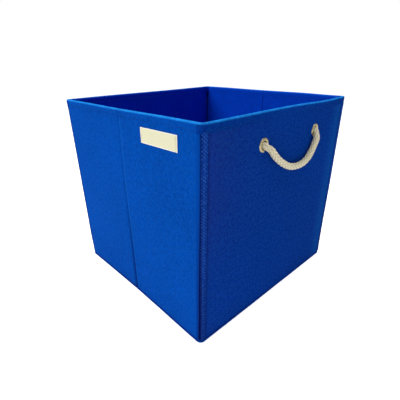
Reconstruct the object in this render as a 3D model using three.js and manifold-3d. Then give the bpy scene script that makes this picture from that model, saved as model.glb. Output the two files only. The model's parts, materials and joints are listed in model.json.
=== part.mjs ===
// Folding fabric storage bin. Four stiffened walls stand on a fabric bottom; the front and back walls are
// creased down the middle, so they fold inward and the left wall comes over to the right wall. A rope
// handle hangs from two eyelets in the right wall, and a loose base insert lies on the bottom.
//
// Millimetres, +Z up. The origin is at floor level, in the middle of the walls' outline. The creased
// walls face -Y (front, with the label) and +Y (back); the plain walls face +X (right, with the handle)
// and -X (left).

import * as THREE from 'three';
import { mergeVertices } from 'three/addons/utils/BufferGeometryUtils.js';
import Module from 'manifold-3d';

const wasm = await Module();
wasm.setup();

// ---------------------------------------------------------------- driving dimensions

const width = 305; // outside, along X: the creased walls
const depth = 315; // outside, along Y: the plain walls
const height = 290; // floor to rim

const outerFabric = 0.8; // thickness
const wallBoard = 1.8;
const lining = 0.8;
const boardMargin = 2.5; // from each end of a wall to its board, so that the fabric can fold
const seat = 0.3; // clearance between pieces that lie against each other

const hemDepth = 11; // how far the rim hem comes down each face of a wall
const seamWidth = 8.5; // fabric strip beside each corner of the plain walls
const hingeGap = 0.4; // between a half wall's end and the plain wall that it folds against
const creaseGap = 0.4; // between the two halves of a creased wall

const bottomFabric = 0.6;
const sleeveFabric = 0.5; // cover of the base insert
const insertBoard = 1.8;
const insertClearance = 2; // from the insert's edge to the walls' inner faces
const sleeveEnd = 1.5; // how far the insert's board sits back from the sleeve's open end
const tabLength = 40;
const tabWidth = 20;
const tabThickness = 0.6;
const tabInset = 8; // from the insert's free edge
const footClearance = 0.4; // the folding walls pass over the insert with this much room

const eyeletSpacing = 125;
const handleShift = 9; // the handle sits this far behind the middle of its wall
const eyeletDrop = 39; // from the rim to the eyelets' centres
const ropeDiameter = 9;
const boreClearance = 0.7; // rope to eyelet, all round
const barrelWall = 0.8;
const flangeDiameter = 18;
const flangeHeight = 1.2;
const washerDiameter = 18;
const washerThickness = 0.6;
const lipWidth = 1.8; // the eyelet's rolled end, beyond its barrel
const lipThickness = 0.6;
const knotDiameter = 21;
const knotLength = 14;

const labelWidth = 70;
const labelHeight = 20;
const labelThickness = 0.5;
const labelDrop = 16; // from the rim to the label's top
const labelInset = 35; // from the right corner to the label

// The rope's centreline, from the middle of the handle at the eyelets' height: millimetres between the
// rope and the plane of the eyelets' crowns, then along the wall (Y) and up (Z).
const ropeRoute = [
  [0.4, -62.5, 0.0],
  [0.6, -59.4, -2.6],
  [0.7, -55.4, -6.3],
  [0.6, -49.2, -12.0],
  [0.5, -41.8, -18.4],
  [0.2, -33.0, -24.7],
  [0.0, -22.8, -30.9],
  [0.0, -11.0, -36.6],
  [0.0, 1.4, -40.5],
  [0.0, 12.6, -42.1],
  [0.0, 23.2, -42.1],
  [0.0, 33.4, -40.3],
  [0.0, 41.6, -36.4],
  [0.0, 48.0, -31.0],
  [0.0, 53.1, -24.6],
  [0.2, 56.8, -17.5],
  [0.5, 59.2, -10.2],
  [0.5, 61.2, -4.4],
  [0.4, 62.5, 0.0],
];

// ---------------------------------------------------------------- sizes that follow from them

const wall = outerFabric + seat + wallBoard + seat + lining;
const span = width - 2 * wall; // between the inner faces of the plain walls
const boardFace = outerFabric + seat; // depth from the outer face to the board

const insertFloor = bottomFabric + seat;
const insertBoardFloor = insertFloor + sleeveFabric + seat;
const insertTop = insertBoardFloor + insertBoard + seat + sleeveFabric;
const insertHalfWidth = width / 2 - wall - insertClearance;
const insertHalfDepth = depth / 2 - wall - insertClearance;
const tabTop = insertTop + seat + tabThickness;
const foot = tabTop + footClearance; // where the walls begin, above the insert

const eyeletHeight = height - eyeletDrop;
const ropeRadius = ropeDiameter / 2;
const bore = ropeRadius + boreClearance;
const barrel = bore + barrelWall;
const washerFace = wall + seat;
const lipFace = washerFace + washerThickness + seat;
const knotFace = lipFace + lipThickness + seat;
const crown = seat + flangeHeight; // how far an eyelet stands out from the wall

const roundSegments = 32;
const ropeSides = 10;
const ropeSteps = 30;

// ---------------------------------------------------------------- materials

const finish = (color, roughness, metalness = 0) =>
  new THREE.MeshStandardMaterial({ color, roughness, metalness });

const outerBlue = finish(0x0749a6, 0.9);
const liningBlue = finish(0x04268a, 0.9);
const greyBoard = finish(0x9a8f80, 0.9);
const cotton = finish(0xdcd9c4, 0.95);
const eyeletMetal = finish(0xc9c3a4, 0.3, 1);
const labelCloth = finish(0xecebd0, 0.8);

// ---------------------------------------------------------------- solids

/** A box between two corners. */
function block(x0, x1, y0, y1, z0, z1) {
  const geometry = new THREE.BoxGeometry(x1 - x0, y1 - y0, z1 - z0);
  return geometry.translate((x0 + x1) / 2, (y0 + y1) / 2, (z0 + z1) / 2);
}

/** A three.js geometry as a solid that can be cut. */
function solidOf(geometry) {
  const bare = geometry.clone();
  bare.deleteAttribute('normal');
  bare.deleteAttribute('uv');
  const merged = mergeVertices(bare, 1e-4);
  return new wasm.Manifold(
    new wasm.Mesh({
      numProp: 3,
      vertProperties: new Float32Array(merged.attributes.position.array),
      triVerts: new Uint32Array(merged.index.array),
    }),
  );
}

/** The geometry with each of the tools cut away. */
function cut(geometry, tools) {
  const mesh = tools.reduce((solid, tool) => solid.subtract(solidOf(tool)), solidOf(geometry)).getMesh();
  const result = new THREE.BufferGeometry();
  result.setAttribute('position', new THREE.BufferAttribute(mesh.vertProperties, 3));
  result.setIndex(new THREE.BufferAttribute(mesh.triVerts, 1));
  result.computeVertexNormals();
  return result;
}

/** A closed outline of [radius, y] points, turned about the Y axis. */
function turned(outline) {
  return new THREE.LatheGeometry(
    outline.map(([radius, y]) => new THREE.Vector2(radius, y)),
    roundSegments,
  );
}

function addPiece(group, name, geometry, material) {
  const mesh = new THREE.Mesh(geometry, material);
  mesh.name = name;
  group.add(mesh);
  return mesh;
}

// ---------------------------------------------------------------- walls

// A wall is drawn with its outer face at y = 0 and its inner face at y = wall, and then turned to its
// side of the bin. Seen from outside, its right end is at +x.
const sides = {
  front: { turn: 0, x: 0, y: -depth / 2 },
  right: { turn: Math.PI / 2, x: width / 2, y: 0 },
  back: { turn: Math.PI, x: 0, y: depth / 2 },
  left: { turn: -Math.PI / 2, x: -width / 2, y: 0 },
};

function sideGroup(side) {
  const group = new THREE.Group();
  group.rotation.z = sides[side].turn;
  group.position.set(sides[side].x, sides[side].y, 0);
  return group;
}

/** Outer fabric, board and lining, with a hem folded over their top edges. */
function addWall(group, name, x0, x1, { seams = 0, bores = [] } = {}) {
  const faceTop = height - hemDepth - seat;
  const boardTop = height - outerFabric - seat;
  const drill = (geometry, radius) =>
    bores.length
      ? cut(geometry, bores.map((x) => boreTool(x, radius)))
      : geometry;
  const outer = block(x0 + seams, x1 - seams, 0, outerFabric, foot, faceTop);
  const boardEnds = [x0 + boardMargin, x1 - boardMargin];
  const board = block(...boardEnds, boardFace, boardFace + wallBoard, foot, boardTop);
  const inner = block(x0, x1, wall - lining, wall, foot, faceTop);
  addPiece(group, `${name}_outer_fabric`, drill(outer, barrel + seat), outerBlue);
  addPiece(group, `${name}_board`, drill(board, barrel + seat), greyBoard);
  addPiece(group, `${name}_lining`, drill(inner, barrel + seat), liningBlue);

  const fold = block(x0, x1, 0, wall, height - hemDepth, height);
  const slot = block(x0 - 1, x1 + 1, outerFabric, wall - lining, height - hemDepth - 1, height - outerFabric);
  addPiece(group, `${name}_rim_hem`, cut(fold, [slot]), outerBlue);
}

/** The cutter for an eyelet's hole at a place along the wall. */
function boreTool(x, radius) {
  const tool = new THREE.CylinderGeometry(radius, radius, 4 * wall, roundSegments);
  return tool.translate(x, wall / 2, eyeletHeight);
}

/** A plain wall, with a seam strip beside each corner. */
function plainWall(side, bores = []) {
  const group = sideGroup(side);
  addWall(group, `${side}_wall`, -depth / 2, depth / 2, { seams: seamWidth + seat, bores });
  for (const end of [-1, 1]) {
    const corner = (end * depth) / 2;
    const [from, to] = [corner, corner - end * seamWidth].sort((a, b) => a - b);
    const facing = (side === 'right') === end > 0 ? 'back' : 'front';
    const strip = block(from, to, 0, outerFabric, foot, height - hemDepth - seat);
    addPiece(group, `${side}_wall_${facing}_seam`, strip, outerBlue);
  }
  return group;
}

/** A creased wall: two half walls with the crease between them. */
function creasedWall(side) {
  const group = sideGroup(side);
  for (const end of [-1, 1]) {
    const hand = (side === 'front') === end > 0 ? 'right' : 'left';
    const [from, to] = [(end * creaseGap) / 2, end * (span / 2 - hingeGap)].sort((a, b) => a - b);
    addWall(group, `${side}_${hand}_panel`, from, to);
  }
  return group;
}

/** The blank label, sewn flat on the right half of the front wall. */
function addLabel(group) {
  const right = width / 2 - labelInset;
  const top = height - labelDrop;
  const patch = block(right - labelWidth, right, -seat - labelThickness, -seat, top - labelHeight, top);
  addPiece(group, 'blank_label', patch, labelCloth);
}

// ---------------------------------------------------------------- rope handle

const eyelets = [
  { name: 'front', x: handleShift - eyeletSpacing / 2 },
  { name: 'back', x: handleShift + eyeletSpacing / 2 },
];

/** Flange, barrel and rolled end of an eyelet. Y runs inward from the wall's outer face. */
function eyelet() {
  const flange = flangeDiameter / 2;
  return turned([
    [bore, lipFace + lipThickness],
    [bore, -crown + 0.3 * flangeHeight],
    [bore + 0.2 * (flange - bore), -crown],
    [bore + 0.6 * (flange - bore), -crown + 0.1 * flangeHeight],
    [flange, -seat - 0.4 * flangeHeight],
    [flange, -seat],
    [barrel, -seat],
    [barrel, lipFace],
    [barrel + lipWidth, lipFace],
    [barrel + lipWidth, lipFace + lipThickness],
    [bore, lipFace + lipThickness],
  ]);
}

/** The flat ring on the inside of the wall, which the eyelet is rolled over. */
function washer() {
  const [inner, outer] = [barrel + seat, washerDiameter / 2];
  return turned([
    [inner, washerFace],
    [outer, washerFace],
    [outer, washerFace + washerThickness],
    [inner, washerFace + washerThickness],
    [inner, washerFace],
  ]);
}

/** The knot inside the wall, with the short length of rope that passes through the eyelet. */
function knot() {
  const middle = knotFace + knotLength / 2;
  const start = Math.asin(ropeRadius / (knotDiameter / 2));
  const bulge = [];
  for (let i = 0; i <= 10; i++) {
    const angle = start + ((Math.PI - start) * i) / 10;
    bulge.push([(knotDiameter / 2) * Math.sin(angle), middle - (knotLength / 2) * Math.cos(angle)]);
  }
  bulge[bulge.length - 1][0] = 0;
  return turned([[0, -crown], [ropeRadius, -crown], ...bulge]);
}

/** The rope that hangs outside, as a plain tube along its route. */
function hangingRope() {
  const touching = width / 2 + crown + ropeRadius;
  const points = ropeRoute.map(
    ([gap, along, up]) => new THREE.Vector3(touching + gap, handleShift + along, eyeletHeight + up),
  );
  const section = new THREE.Shape().absarc(0, 0, ropeRadius, 0, 2 * Math.PI);
  return new THREE.ExtrudeGeometry(section, {
    curveSegments: ropeSides / 2,
    steps: ropeSteps,
    extrudePath: new THREE.CatmullRomCurve3(points),
  });
}

function addEyelets(group) {
  for (const { name, x } of eyelets) {
    const place = (geometry) => geometry.translate(x, 0, eyeletHeight);
    addPiece(group, `${name}_eyelet`, place(eyelet()), eyeletMetal);
    addPiece(group, `${name}_washer`, place(washer()), eyeletMetal);
    addPiece(group, `${name}_knot`, place(knot()), cotton);
  }
}

// ---------------------------------------------------------------- bottom and insert

/** The fabric bottom: a shallow tray whose edge meets the foot of the walls. */
function bottomCover() {
  const [x, y, edge] = [width / 2, depth / 2, outerFabric];
  return cut(block(-x, x, -y, y, 0, foot - seat), [
    block(-x + edge, x - edge, -y + edge, y - edge, bottomFabric, foot),
  ]);
}

/** The insert's fabric sleeve, open along the left edge where its board slides in. */
function insertSleeve() {
  const [x, y] = [insertHalfWidth, insertHalfDepth];
  const [low, high] = [insertFloor + sleeveFabric, insertTop - sleeveFabric];
  return cut(block(-x, x, -y, y, insertFloor, insertTop), [
    block(-x - 1, x - sleeveFabric, -y + sleeveFabric, y - sleeveFabric, low, high),
  ]);
}

function stiffInsertBoard() {
  const inside = sleeveFabric + seat;
  const [x, y] = [insertHalfWidth - inside, insertHalfDepth - inside];
  return block(-insertHalfWidth + sleeveEnd, x, -y, y, insertBoardFloor, insertBoardFloor + insertBoard);
}

/** The ribbon near the insert's free edge, for lifting it. */
function pullTab() {
  const end = insertHalfWidth - tabInset;
  const low = insertTop + seat;
  return block(end - tabLength, end, -tabWidth / 2, tabWidth / 2, low, low + tabThickness);
}

// ---------------------------------------------------------------- the bin

const bin = new THREE.Group();

const rightWall = plainWall('right', eyelets.map(({ x }) => x));
addEyelets(rightWall);
const frontWall = creasedWall('front');
addLabel(frontWall);
bin.add(rightWall, plainWall('left'), frontWall, creasedWall('back'));

addPiece(bin, 'handle_rope', hangingRope(), cotton);
addPiece(bin, 'bottom_cover', bottomCover(), outerBlue);
addPiece(bin, 'insert_sleeve', insertSleeve(), liningBlue);
addPiece(bin, 'insert_board', stiffInsertBoard(), greyBoard);
addPiece(bin, 'insert_pull_tab', pullTab(), liningBlue);

export default bin;
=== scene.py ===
import json
import math

import bmesh
import bpy
import numpy as np
from bpy.props import FloatProperty, FloatVectorProperty, PointerProperty
from bpy.types import Operator, Panel, PropertyGroup
from mathutils import Matrix, Vector

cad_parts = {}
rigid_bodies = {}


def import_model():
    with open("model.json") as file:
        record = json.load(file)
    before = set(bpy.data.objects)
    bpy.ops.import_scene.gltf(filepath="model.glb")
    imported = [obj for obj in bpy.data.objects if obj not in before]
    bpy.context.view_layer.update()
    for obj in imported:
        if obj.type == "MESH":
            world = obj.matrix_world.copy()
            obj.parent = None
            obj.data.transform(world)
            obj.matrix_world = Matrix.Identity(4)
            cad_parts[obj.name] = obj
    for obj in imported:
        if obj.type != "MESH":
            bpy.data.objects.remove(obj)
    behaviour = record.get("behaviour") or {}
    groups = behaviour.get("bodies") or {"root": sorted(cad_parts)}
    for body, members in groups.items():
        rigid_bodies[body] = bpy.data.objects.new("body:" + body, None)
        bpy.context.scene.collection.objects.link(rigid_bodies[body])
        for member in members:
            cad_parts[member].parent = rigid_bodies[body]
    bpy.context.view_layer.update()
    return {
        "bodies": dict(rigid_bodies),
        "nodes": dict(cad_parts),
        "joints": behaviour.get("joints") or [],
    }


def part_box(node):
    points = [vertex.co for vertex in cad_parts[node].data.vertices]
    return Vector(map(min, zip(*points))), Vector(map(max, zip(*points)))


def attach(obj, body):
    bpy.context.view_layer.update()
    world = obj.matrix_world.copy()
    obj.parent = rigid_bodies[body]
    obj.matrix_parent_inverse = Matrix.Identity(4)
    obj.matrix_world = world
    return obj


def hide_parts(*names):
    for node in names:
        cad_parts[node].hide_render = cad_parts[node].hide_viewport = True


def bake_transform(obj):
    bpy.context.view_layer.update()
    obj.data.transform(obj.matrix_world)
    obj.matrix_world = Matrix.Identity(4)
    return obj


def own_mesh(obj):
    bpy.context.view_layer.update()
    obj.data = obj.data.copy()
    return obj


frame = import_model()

bl_info = {
    "name": "Folding fabric storage bin",
    "version": (1, 0, 0),
    "blender": (4, 5, 0),
    "location": "View3D > Sidebar > Storage bin",
    "description": "Cloth walls, rope handle, label and base insert of a folding storage bin",
    "category": "Object",
}

# The frame's own sizes, in metres.
HEM_LOW, HEM_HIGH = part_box("right_wall_rim_hem")
HALF_WIDTH = HEM_HIGH.x
HALF_DEPTH = HEM_HIGH.y
TOP = HEM_HIGH.z
WALL = HEM_HIGH.x - HEM_LOW.x
HEM_FOOT = HEM_LOW.z
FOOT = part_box("right_wall_lining")[0].z
CORNER_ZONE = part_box("right_wall_front_seam")[1].y + HALF_DEPTH
EYELETS = {
    side: (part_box(side + "_eyelet")[0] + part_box(side + "_eyelet")[1]) / 2
    for side in ("front", "back")
}

# Sizes of the cloth work, in metres.
CREASE_ZONE = 0.006  # half the width of the strip that folds at a crease
CORNER_RUN = 0.01485  # length of the cloth round one corner
SEAM_GROOVE = 0.576  # where on that length the seam's groove lies, as a share
CLOTH_TOP = HEM_FOOT + 0.002  # the walls' cloth ends under the hem
HEM_PROUD = 0.00035  # how far the hem stands out of the wall
HEM_STITCHES = HEM_FOOT + 0.0024  # height of the hem's line of stitches
LABEL_PROUD = 0.0009
CLOTH_HOLE = 0.0062  # radius of the holes for the eyelets
BOARD_HOLE = 0.0064

# Where the camera stands, which way it looks, and its lens.
CAMERA_PLACE = Vector((0.3659, -0.3646, 0.3466))
CAMERA_FORWARD = Vector((-0.657, 0.63, -0.413))
CAMERA_RIGHT = Vector((0.694, 0.72, -0.006))
CAMERA_LENS = 28.13

RNG_SEED = 41


# ---------------------------------------------------------------- small maths

def ease(low, high, value):
    """0 below low, 1 above high, and smooth between."""
    t = np.clip((np.asarray(value, float) - low) / (high - low), 0, 1)
    return t * t * (3 - 2 * t)


def bump(value, centre, width):
    """A soft hill of height 1 round centre."""
    return np.exp(-(((np.asarray(value, float) - centre) / width) ** 2))


def ripple(a, b, seed, longest=0.12, octaves=4):
    """Smooth waves over two coordinates, about -1 to 1, the same for the same seed."""
    rng = np.random.default_rng(RNG_SEED + seed)
    total = np.zeros(np.broadcast(a, b).shape)
    strength = 1.0
    length = longest
    for _ in range(octaves):
        turn, shift = rng.uniform(0, math.tau, 2)
        across = a * math.cos(turn) + b * math.sin(turn)
        along = -a * math.sin(turn) + b * math.cos(turn)
        wave = np.sin(math.tau * across / length + shift)
        total = total + strength * wave * np.cos(math.tau * along / (length * 1.7) + 2 * shift)
        strength *= 0.55
        length *= 0.6
    return total / 1.6


def corner_radius(z, sx, sy):
    """Outside radius of a vertical corner at height z: softer at the floor and at the rim."""
    low = 1 - ease(0.0, 0.045, z)
    high = ease(0.262, 0.286, z)
    label_corner = sx > 0 and sy < 0
    at_floor, at_rim = (0.0048, 0.0026) if label_corner else (0.0026, 0.0)
    radius = 0.0032 + at_floor * low + at_rim * high
    if sx > 0 and sy > 0:
        radius = radius + 0.0030 * (1 - ease(0.05, 0.16, z)) * (1 - low)
    return np.minimum(radius, CORNER_ZONE - 0.0001)


def corner_plan(t, z, out, sx, sy):
    """Plan point round one corner, from the plain wall (t = 0) to the creased wall (t = 1)."""
    t, z, out = np.broadcast_arrays(np.asarray(t, float), z, out)
    radius = corner_radius(z, sx, sy)
    straight = CORNER_ZONE - radius
    arc = radius * math.pi / 2
    s = t * (2 * straight + arc)
    turn = np.clip((s - straight) / radius, 0, math.pi / 2)
    before = np.clip(s / straight, 0, 1)
    after = np.clip((s - straight - arc) / straight, 0, 1)
    own = np.maximum(radius + out, 0.0006)
    start_x, start_y = HALF_WIDTH - CORNER_ZONE, HALF_DEPTH - CORNER_ZONE
    centre_x, centre_y = HALF_WIDTH + out - own, HALF_DEPTH + out - own
    x = centre_x + own * np.cos(turn) - after * (centre_x - start_x)
    y = start_y + before * (centre_y - start_y) + own * np.sin(turn)
    return sx * x, sy * y


# How far each corner of the bin leans out of true, in metres: the sign of x, the sign of y,
# then the shift at the floor and the shift at the rim.
LEANS = (
    (1, -1, (-0.0018, -0.0018, 0.0), (0.0, 0.0013, 0.0007)),
    (-1, -1, (0.0016, -0.0003, 0.0), (-0.0018, -0.0016, -0.0014)),
    (1, 1, (0.0022, -0.0002, 0.0), (0.0, 0.0017, 0.0021)),
    (-1, 1, (0.0, 0.0, 0.0), (0.0, 0.0, 0.0)),
)


def lean(x, y, z):
    """Shift of a point between the corners' own shifts."""
    u = np.clip(0.5 + 0.5 * x / HALF_WIDTH, 0, 1)
    v = np.clip(0.5 + 0.5 * y / HALF_DEPTH, 0, 1)
    w = np.clip(z / TOP, 0, 1)
    shift = [0.0, 0.0, 0.0]
    for sx, sy, low, high in LEANS:
        near = (u if sx > 0 else 1 - u) * (v if sy > 0 else 1 - v)
        for k in range(3):
            shift[k] = shift[k] + near * (low[k] * (1 - w) + high[k] * w)
    return shift


def settle(x, y, z):
    """How the whole bin has settled out of true: the same for cloth, hems, boards and cover."""
    half_x, half_y = HALF_WIDTH - WALL, HALF_DEPTH - WALL
    lean_x, lean_y, lean_z = lean(x, y, z)
    middle = np.clip(1 - np.abs(x) / half_x, 0, 1)
    edge = (np.abs(y) / HALF_DEPTH) ** 10
    # The front crease wanders sideways, and the rim of the handle wall slumps.
    wander = -0.0027 * bump(z, 0.19, 0.075) * ease(0.5, 0.8, -y / HALF_DEPTH) * middle
    slump = -0.0019 * bump(y, 0.095, 0.06) * ease(0.5, 0.9, x / HALF_WIDTH) * ease(0.265, TOP, z)
    # The creased walls kink inwards at their creases.
    y = y - np.sign(y) * 0.0019 * (1 - 0.8 * np.clip(z / TOP, 0, 1)) * middle * edge
    # The plain walls bow out and ripple, and the creased walls ripple.
    inner = ease(0.0, 0.03, half_y - np.abs(y)) * (np.abs(x) / HALF_WIDTH) ** 10
    bow = 0.0007 * np.cos(math.pi * y / (2 * half_y)) * (0.4 + 0.6 * z / TOP) * inner
    wave = 0.00025 * ripple(y, z, 3, 0.16, 3) * inner
    x = x + np.sign(x) * (bow + wave)
    inner = ease(0.0, 0.03, half_x - np.abs(x)) * edge * ease(0.0, 0.02, np.abs(x))
    y = y + np.sign(y) * 0.0003 * ripple(x, z, 5, 0.14, 3) * inner
    z = z + 0.0005 * ease(0.24, TOP, z) * ripple(x, y, 7, 0.3, 2)
    return x + lean_x + wander, y + lean_y, z + lean_z + slump


# ---------------------------------------------------------------- meshes

def mesh_piece(name, points, faces, material, uv=None, marks=None, sharp=None):
    """A new piece from plain lists, turned inside out if its faces point inwards.

    marks are named values at its points, and an edge is sharp if both its ends are."""
    points = np.asarray(points, float)
    mesh = bpy.data.meshes.new(name)
    mesh.from_pydata(points.tolist(), [], faces)
    mesh.calc_loop_triangles()
    tri = np.zeros(len(mesh.loop_triangles) * 3, np.int32)
    mesh.loop_triangles.foreach_get("vertices", tri)
    a, b, c = (points[tri.reshape(-1, 3)[:, k]] for k in range(3))
    volume = float((a * np.cross(b, c)).sum() / 6)
    if volume < 0:
        mesh.flip_normals()
    if uv is not None:
        layer = mesh.uv_layers.new(name="cloth")
        loops = np.zeros(len(mesh.loops), np.int32)
        mesh.loops.foreach_get("vertex_index", loops)
        layer.data.foreach_set("uv", np.asarray(uv, np.float32)[loops].ravel())
    for label, values in (marks or {}).items():
        mark = mesh.attributes.new(label, "FLOAT", "POINT")
        mark.data.foreach_set("value", np.asarray(values, np.float32).ravel())
    mesh.polygons.foreach_set("use_smooth", [True] * len(mesh.polygons))
    if sharp is not None:
        ends = np.zeros(len(mesh.edges) * 2, np.int32)
        mesh.edges.foreach_get("vertices", ends)
        ends = ends.reshape(-1, 2)
        mark = mesh.attributes.new("sharp_edge", "BOOLEAN", "EDGE")
        mark.data.foreach_set("value", sharp[ends[:, 0]] & sharp[ends[:, 1]])
    mesh.materials.append(material)
    mesh.update()
    piece = bpy.data.objects.new(name, mesh)
    bpy.context.scene.collection.objects.link(piece)
    return piece


def grid_faces(rows, columns, start=0, around=False, flip=False):
    """Quads of a grid whose points run along columns first; around closes each row into a ring."""
    faces = []
    for r in range(rows - 1):
        row, above = start + r * columns, start + (r + 1) * columns
        for c in range(columns if around else columns - 1):
            d = (c + 1) % columns
            quad = (row + c, row + d, above + d, above + c)
            faces.append(quad[::-1] if flip else quad)
    return faces


def cloth_shell(name, grid, back, material, uv, marks=None):
    """A closed sheet of cloth between two grids of points, its outer face and its back."""
    rows, columns = grid.shape[:2]
    count = rows * columns
    points = np.concatenate([grid.reshape(-1, 3), back.reshape(-1, 3)])
    faces = grid_faces(rows, columns) + grid_faces(rows, columns, count, flip=True)
    far = (rows - 1) * columns
    for start, flip in ((0, False), (far, True)):
        for a in range(start, start + columns - 1):
            quad = (a + 1, a, a + count, a + 1 + count)
            faces.append(quad[::-1] if flip else quad)
    for start, flip in ((0, False), (columns - 1, True)):
        for a in range(start, start + far, columns):
            quad = (a, a + columns, a + columns + count, a + count)
            faces.append(quad[::-1] if flip else quad)
    border = np.ones((rows, columns), bool)
    border[1:-1, 1:-1] = False
    both = {label: np.concatenate([v.ravel(), v.ravel()]) for label, v in (marks or {}).items()}
    return mesh_piece(
        name, points, faces, material, np.concatenate([uv.reshape(-1, 2)] * 2), both,
        np.concatenate([border.ravel()] * 2),
    )


def evaluated_mesh(piece):
    """A plain mesh of a piece with its modifiers applied, and the modifiers taken off it."""
    bpy.context.view_layer.update()
    graph = bpy.context.evaluated_depsgraph_get()
    mesh = bpy.data.meshes.new_from_object(piece.evaluated_get(graph))
    piece.modifiers.clear()
    return mesh


def along_path(path):
    """Distance from the start of a path to each of its points."""
    return np.concatenate([[0], np.cumsum(np.linalg.norm(np.diff(path, axis=0), axis=1))])


def drill(piece, centres, radius):
    """Cuts round holes along X through a closed piece."""
    cutter_mesh = bpy.data.meshes.new("drill")
    bm = bmesh.new()
    for centre in centres:
        place = Matrix.Translation(centre) @ Matrix.Rotation(math.pi / 2, 4, "Y")
        bmesh.ops.create_cone(
            bm, cap_ends=True, segments=40, radius1=radius, radius2=radius,
            depth=0.03, matrix=place,
        )
    bm.to_mesh(cutter_mesh)
    bm.free()
    cutter = bpy.data.objects.new("drill", cutter_mesh)
    bpy.context.scene.collection.objects.link(cutter)
    cut = piece.modifiers.new("drill", "BOOLEAN")
    cut.object = cutter
    cut.operation = "DIFFERENCE"
    cut.solver = "EXACT"
    piece.data = evaluated_mesh(piece)
    bpy.data.objects.remove(cutter)


def smooth_path(points, spacing):
    """Points spaced evenly on a smooth curve through the given ones, and its length."""
    points = np.asarray(points, float)
    padded = np.concatenate([[2 * points[0] - points[1]], points, [2 * points[-1] - points[-2]]])
    fine = []
    for i in range(len(points) - 1):
        p0, p1, p2, p3 = padded[i : i + 4]
        for t in np.linspace(0, 1, 24, endpoint=False):
            fine.append(
                0.5 * (2 * p1 + (p2 - p0) * t + (2 * p0 - 5 * p1 + 4 * p2 - p3) * t**2
                       + (3 * p1 - p0 - 3 * p2 + p3) * t**3)
            )
    fine = np.array(fine + [points[-1]])
    run = along_path(fine)
    at = np.linspace(0, run[-1], max(2, int(round(run[-1] / spacing)) + 1))
    return np.stack([np.interp(at, run, fine[:, k]) for k in range(3)], axis=1), run[-1]


STRANDS = 6
LAY_LENGTH = 0.024  # along the rope, for one turn of a strand


def braided_tube(name, path, radius, material, sides=48, pinch=0.0, taper=0.0):
    """A braided rope along path: plaits cross over and under each other round it.

    pinch is the length over which an eyelet squeezes each end, and taper rounds the ends off."""
    path = np.asarray(path, float)
    tangent = np.gradient(path, axis=0)
    tangent /= np.linalg.norm(tangent, axis=1, keepdims=True)
    side = np.cross(tangent[0], (0.3, 0.2, 1.0))
    side /= np.linalg.norm(side)
    run = along_path(path)
    angles = np.linspace(0, math.tau, sides, endpoint=False)
    plait = STRANDS * angles / math.tau
    rings, grooves, uv = [], [], []
    for point, forward, at in zip(path, tangent, run):
        side = side - forward * side.dot(forward)
        side /= np.linalg.norm(side)
        other = np.cross(forward, side)
        u = plait + STRANDS * at / LAY_LENGTH / 2
        v = plait - STRANDS * at / LAY_LENGTH / 2
        over = (np.floor(u) + np.floor(v)) % 2 == 0
        across = np.where(over, u % 1.0, v % 1.0)
        along = np.where(over, v % 1.0, u % 1.0)
        crown = np.sqrt(np.clip(1 - (2 * across - 1) ** 2, 0, 1))
        height = crown * (0.55 + 0.45 * np.sin(math.pi * along))
        r = radius * (0.84 + 0.2 * height)
        r = r * (1 + 0.015 * math.sin(at * 260) + 0.01 * math.sin(at * 611 + 1))
        to_end = min(at, run[-1] - at)
        if pinch:
            r = r * (0.87 + 0.13 * ease(0.4, 1.0, to_end / pinch))
        if taper:
            r = r * math.sqrt(max(0.02, 1 - max(0.0, 1 - to_end / taper) ** 2))
        offset = np.cos(angles)[:, None] * side + np.sin(angles)[:, None] * other
        rings.append(point + offset * r[:, None])
        grooves.append(1 - height)
        uv.append(np.stack([angles / math.tau * 0.028, np.full(sides, at)], axis=1))
    points = np.concatenate([np.array(rings).reshape(-1, 3), [path[0], path[-1]]])
    faces = grid_faces(len(path), sides, 0, around=True)
    first = len(path) * sides
    end = first - sides
    for c in range(sides):
        d = (c + 1) % sides
        faces += [(d, c, first), (end + c, end + d, first + 1)]
    uv = np.concatenate([np.array(uv).reshape(-1, 2), [[0, 0], [0, run[-1]]]])
    groove = np.concatenate([np.array(grooves).ravel(), [0.5, 0.5]])
    return mesh_piece(name, points, faces, material, uv, {"groove": groove})


def lathe(name, profile, centre, material, sides=64):
    """Turns a closed outline of (x, radius) pairs round a centre line along X; both in metres."""
    profile = np.asarray(profile, float)
    angles = np.linspace(0, math.tau, sides, endpoint=False)
    rows = len(profile)
    grid = np.zeros((rows, sides, 3))
    grid[:, :, 0] = profile[:, 0][:, None]
    grid[:, :, 1] = centre[1] + profile[:, 1][:, None] * np.cos(angles)
    grid[:, :, 2] = centre[2] + profile[:, 1][:, None] * np.sin(angles)
    faces = grid_faces(rows, sides, 0, around=True)
    end = (rows - 1) * sides
    for c in range(sides):
        d = (c + 1) % sides
        faces.append((end + c, end + d, d, c))
    return mesh_piece(name, grid.reshape(-1, 3), faces, material)


# ---------------------------------------------------------------- shader groups

def new_group(name, inputs, outputs):
    """A shader group with named sockets, and its input and output nodes."""
    group = bpy.data.node_groups.new(name, "ShaderNodeTree")
    for label, kind, default in inputs:
        socket = group.interface.new_socket(name=label, in_out="INPUT", socket_type=kind)
        if default is not None:
            socket.default_value = default
    for label, kind in outputs:
        group.interface.new_socket(name=label, in_out="OUTPUT", socket_type=kind)
    return group, group.nodes.new("NodeGroupInput"), group.nodes.new("NodeGroupOutput")


def wire(tree, source, target):
    tree.links.new(source, target)


def put(tree, socket, value):
    """Links a socket, or sets it, whichever value is."""
    if isinstance(value, bpy.types.NodeSocket):
        tree.links.new(value, socket)
    elif value is not None:
        socket.default_value = value


def calc(tree, operation, a, b=None):
    node = tree.nodes.new("ShaderNodeMath")
    node.operation = operation
    put(tree, node.inputs[0], a)
    put(tree, node.inputs[1], b)
    return node.outputs[0]


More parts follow.
